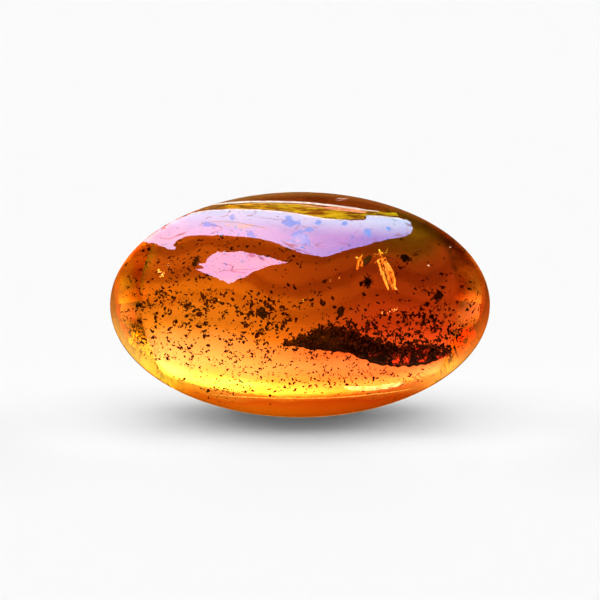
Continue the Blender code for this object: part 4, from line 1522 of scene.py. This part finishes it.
def buildPanels():
    # two glowing sheets on the floor beside the stone, seen only through it, that light its ends
    bm = bmesh.new()
    for side in (-1, 1):
        corners = [Vector((side * x, y, light["panelHeight"])) * mm for x, y in light["panelOutline"]]
        bm.faces.new([bm.verts.new(corner) for corner in corners])
    panels = meshObject("sidePanels", bm, panelMaterial(), smooth=False)
    onlySeenBy(panels, "transmission")
    panels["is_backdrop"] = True


def buildWorld():
    world = bpy.data.worlds.new("softStudio")
    scene.world = world
    world.use_nodes = True
    tree = world.node_tree
    ground = tree.nodes["Background"]
    path = addNode(tree, "ShaderNodeLightPath")
    direction = addNode(tree, "ShaderNodeTexCoord").outputs["Generated"]
    x, y, z = addNode(tree, "ShaderNodeSeparateXYZ", {0: direction}).outputs
    aside = maths(tree, "ABSOLUTE", x)
    # a long low window glows behind the stone, brighter towards its right end
    grain = addNode(tree, "ShaderNodeTexNoise", {"Vector": direction, "Scale": 40.0, "Detail": 4.0})
    height = maths(tree, "ADD", z, spread(tree, grain.outputs["Fac"], 0.3, 0.7, -0.008, 0.008))
    glow = ramp(tree, height, [(at, (level / 10,) * 3) for at, level in light["glow"]])
    sideways = times(tree, spread(tree, x, -0.6, 0.5, light["glowLeft"] * 10, light["glowRight"] * 10),
                     spread(tree, aside, 0.66, 0.84, 1.0, 0.72))
    # windows on both sides of the camera and lamps beside the stone, which only its ends pass on
    sides = times(tree, spread(tree, aside, 0.68, 0.80), spread(tree, y, 0.0, -0.3),
                  spread(tree, z, 0.42, 0.05, 0.12, 1.0))
    flank = times(tree, spread(tree, y, 0.36, 0.24), spread(tree, z, 0.10, 0.30),
                  spread(tree, aside, 0.35, 0.55), spread(tree, y, -0.5, -0.1))
    horizon = times(tree, spread(tree, z, 0.11, 0.0), spread(tree, aside, 0.72, 0.78),
                    spread(tree, y, -0.38, -0.46))
    through = (light["background"],) * 3
    for share, name in ((sides, "sideGlow"), (flank, "flankGlow"), (horizon, "horizonGlow")):
        through = summed(tree, scaledBy(tree, light[name], share), through)
    through = summed(tree, scaledBy(tree, glow, sideways), through)
    # the floor's own light, then what the camera sees, what the rims mirror and what the stone passes on
    sky = light["skyShare"] * light["background"] / light["floorWhite"]
    colour = mixed(tree, path.outputs["Is Camera Ray"], (sky,) * 3, (light["background"],) * 3)
    rim = mixed(tree, spread(tree, z, -0.14, -0.04), light["rimLow"], light["rimHigh"])
    rim = mixed(tree, spread(tree, y, 0.90, 0.98), (0.0, 0.0, 0.0), rim)
    colour = mixed(tree, path.outputs["Is Glossy Ray"], colour, rim)
    colour = mixed(tree, path.outputs["Is Transmission Ray"], colour, through)
    tree.links.new(colour, ground.inputs["Color"])


def sun(name, turn, height, width, energy, onlyOn):
    data = bpy.data.lights.new(name, "SUN")
    data.energy = energy
    data.angle = math.radians(width)
    body = bpy.data.objects.new(name, data)
    scene.collection.objects.link(body)
    turn, height = math.radians(turn), math.radians(height)
    towards = Vector((math.sin(turn) * math.cos(height), math.cos(turn) * math.cos(height), math.sin(height)))
    body.rotation_euler = towards.to_track_quat("Z", "Y").to_euler()
    body.visible_glossy = False
    body.visible_transmission = False
    body.light_linking.receiver_collection = onlyOn


def lamp(name, place, target, size, energy, onlyOn, colour, heldBy=None):
    data = bpy.data.lights.new(name, "AREA")
    data.shape = "RECTANGLE"
    data.size, data.size_y = (side * mm for side in size)
    data.energy = energy
    data.color = colour
    body = bpy.data.objects.new(name, data)
    scene.collection.objects.link(body)
    body.location = Vector(place) * mm
    body.rotation_euler = (Vector(target) - Vector(place)).to_track_quat("-Z", "Y").to_euler()
    for kind in ("visible_camera", "visible_glossy", "visible_transmission"):
        setattr(body, kind, False)
    body.light_linking.receiver_collection = onlyOn
    body.light_linking.blocker_collection = heldBy or onlyOn


def linkingCollection(name, pieces, state="INCLUDE"):
    group = bpy.data.collections.new(name)
    for piece in pieces:
        group.objects.link(piece)
    for entry in group.collection_objects:
        entry.light_linking.link_state = state
    return group


def buildLights(floor):
    perFloor = math.pi * light["background"] / light["floorWhite"]
    stone = bpy.data.objects["amber"]
    inner = [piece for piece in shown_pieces() if piece != stone]
    floorOnly = linkingCollection("floorOnly", [floor])
    allButStone = linkingCollection("allButStone", [stone] + inner, "EXCLUDE")
    innerOnly = linkingCollection("innerOnly", inner)
    goldOnly = linkingCollection("goldOnly", [bpy.data.objects[name] for name in light["goldThings"]])
    bothSides = ((1, "a"), (-1, "b"))
    for number, (turn, height, width, share) in enumerate(light["softLamps"]):
        sides = bothSides if turn else bothSides[:1]
        energy = share / len(sides) * perFloor / math.sin(math.radians(height))
        for side, letter in sides:
            sun(f"softLamp{number}{letter}", turn * side, height, width, energy, floorOnly)
    for number, (x, y, z, share) in enumerate(light["nearLamps"]):
        energy = math.pi * (z * mm) ** 2 * share * perFloor
        for side, letter in bothSides:
            lamp(f"nearLamp{number}{letter}", (side * x, y, z), (side * x, y, 0), (2, 2), energy,
                 floorOnly, (1, 1, 1), allButStone)
    # soft lamps within the stone, seen by nothing, that light what lies in it
    for name, place, target, size, energy, colour, isGold in light["innerLamps"]:
        lamp(name, place, target, size, energy, goldOnly if isGold else innerOnly, colour)


def buildCamera():
    data = bpy.data.cameras.new("camera")
    camera = bpy.data.objects.new("camera", data)
    scene.collection.objects.link(camera)
    camera.location = cameraStart()
    ahead = stoneMiddle - cameraStart()
    camera.rotation_euler = ahead.to_track_quat("-Z", "Y").to_euler()
    data.sensor_width = 36.0
    data.lens = photo["focal"] * data.sensor_width / photo["size"]
    data.shift_y = (photo["middle"][1] - photo["size"] / 2) / photo["size"]
    data.clip_start = 0.01
    data.clip_end = 50
    scene.camera = camera


floor = buildFloor()
buildPanels()
buildWorld()
buildLights(floor)
buildCamera()
scene.view_settings.view_transform = "Standard"
scene.cycles.caustics_reflective = False
scene.cycles.caustics_refractive = False
scene.cycles.max_bounces = 16
scene.cycles.transmission_bounces = 16
scene.cycles.transparent_max_bounces = 16
print("floor, light and camera made")
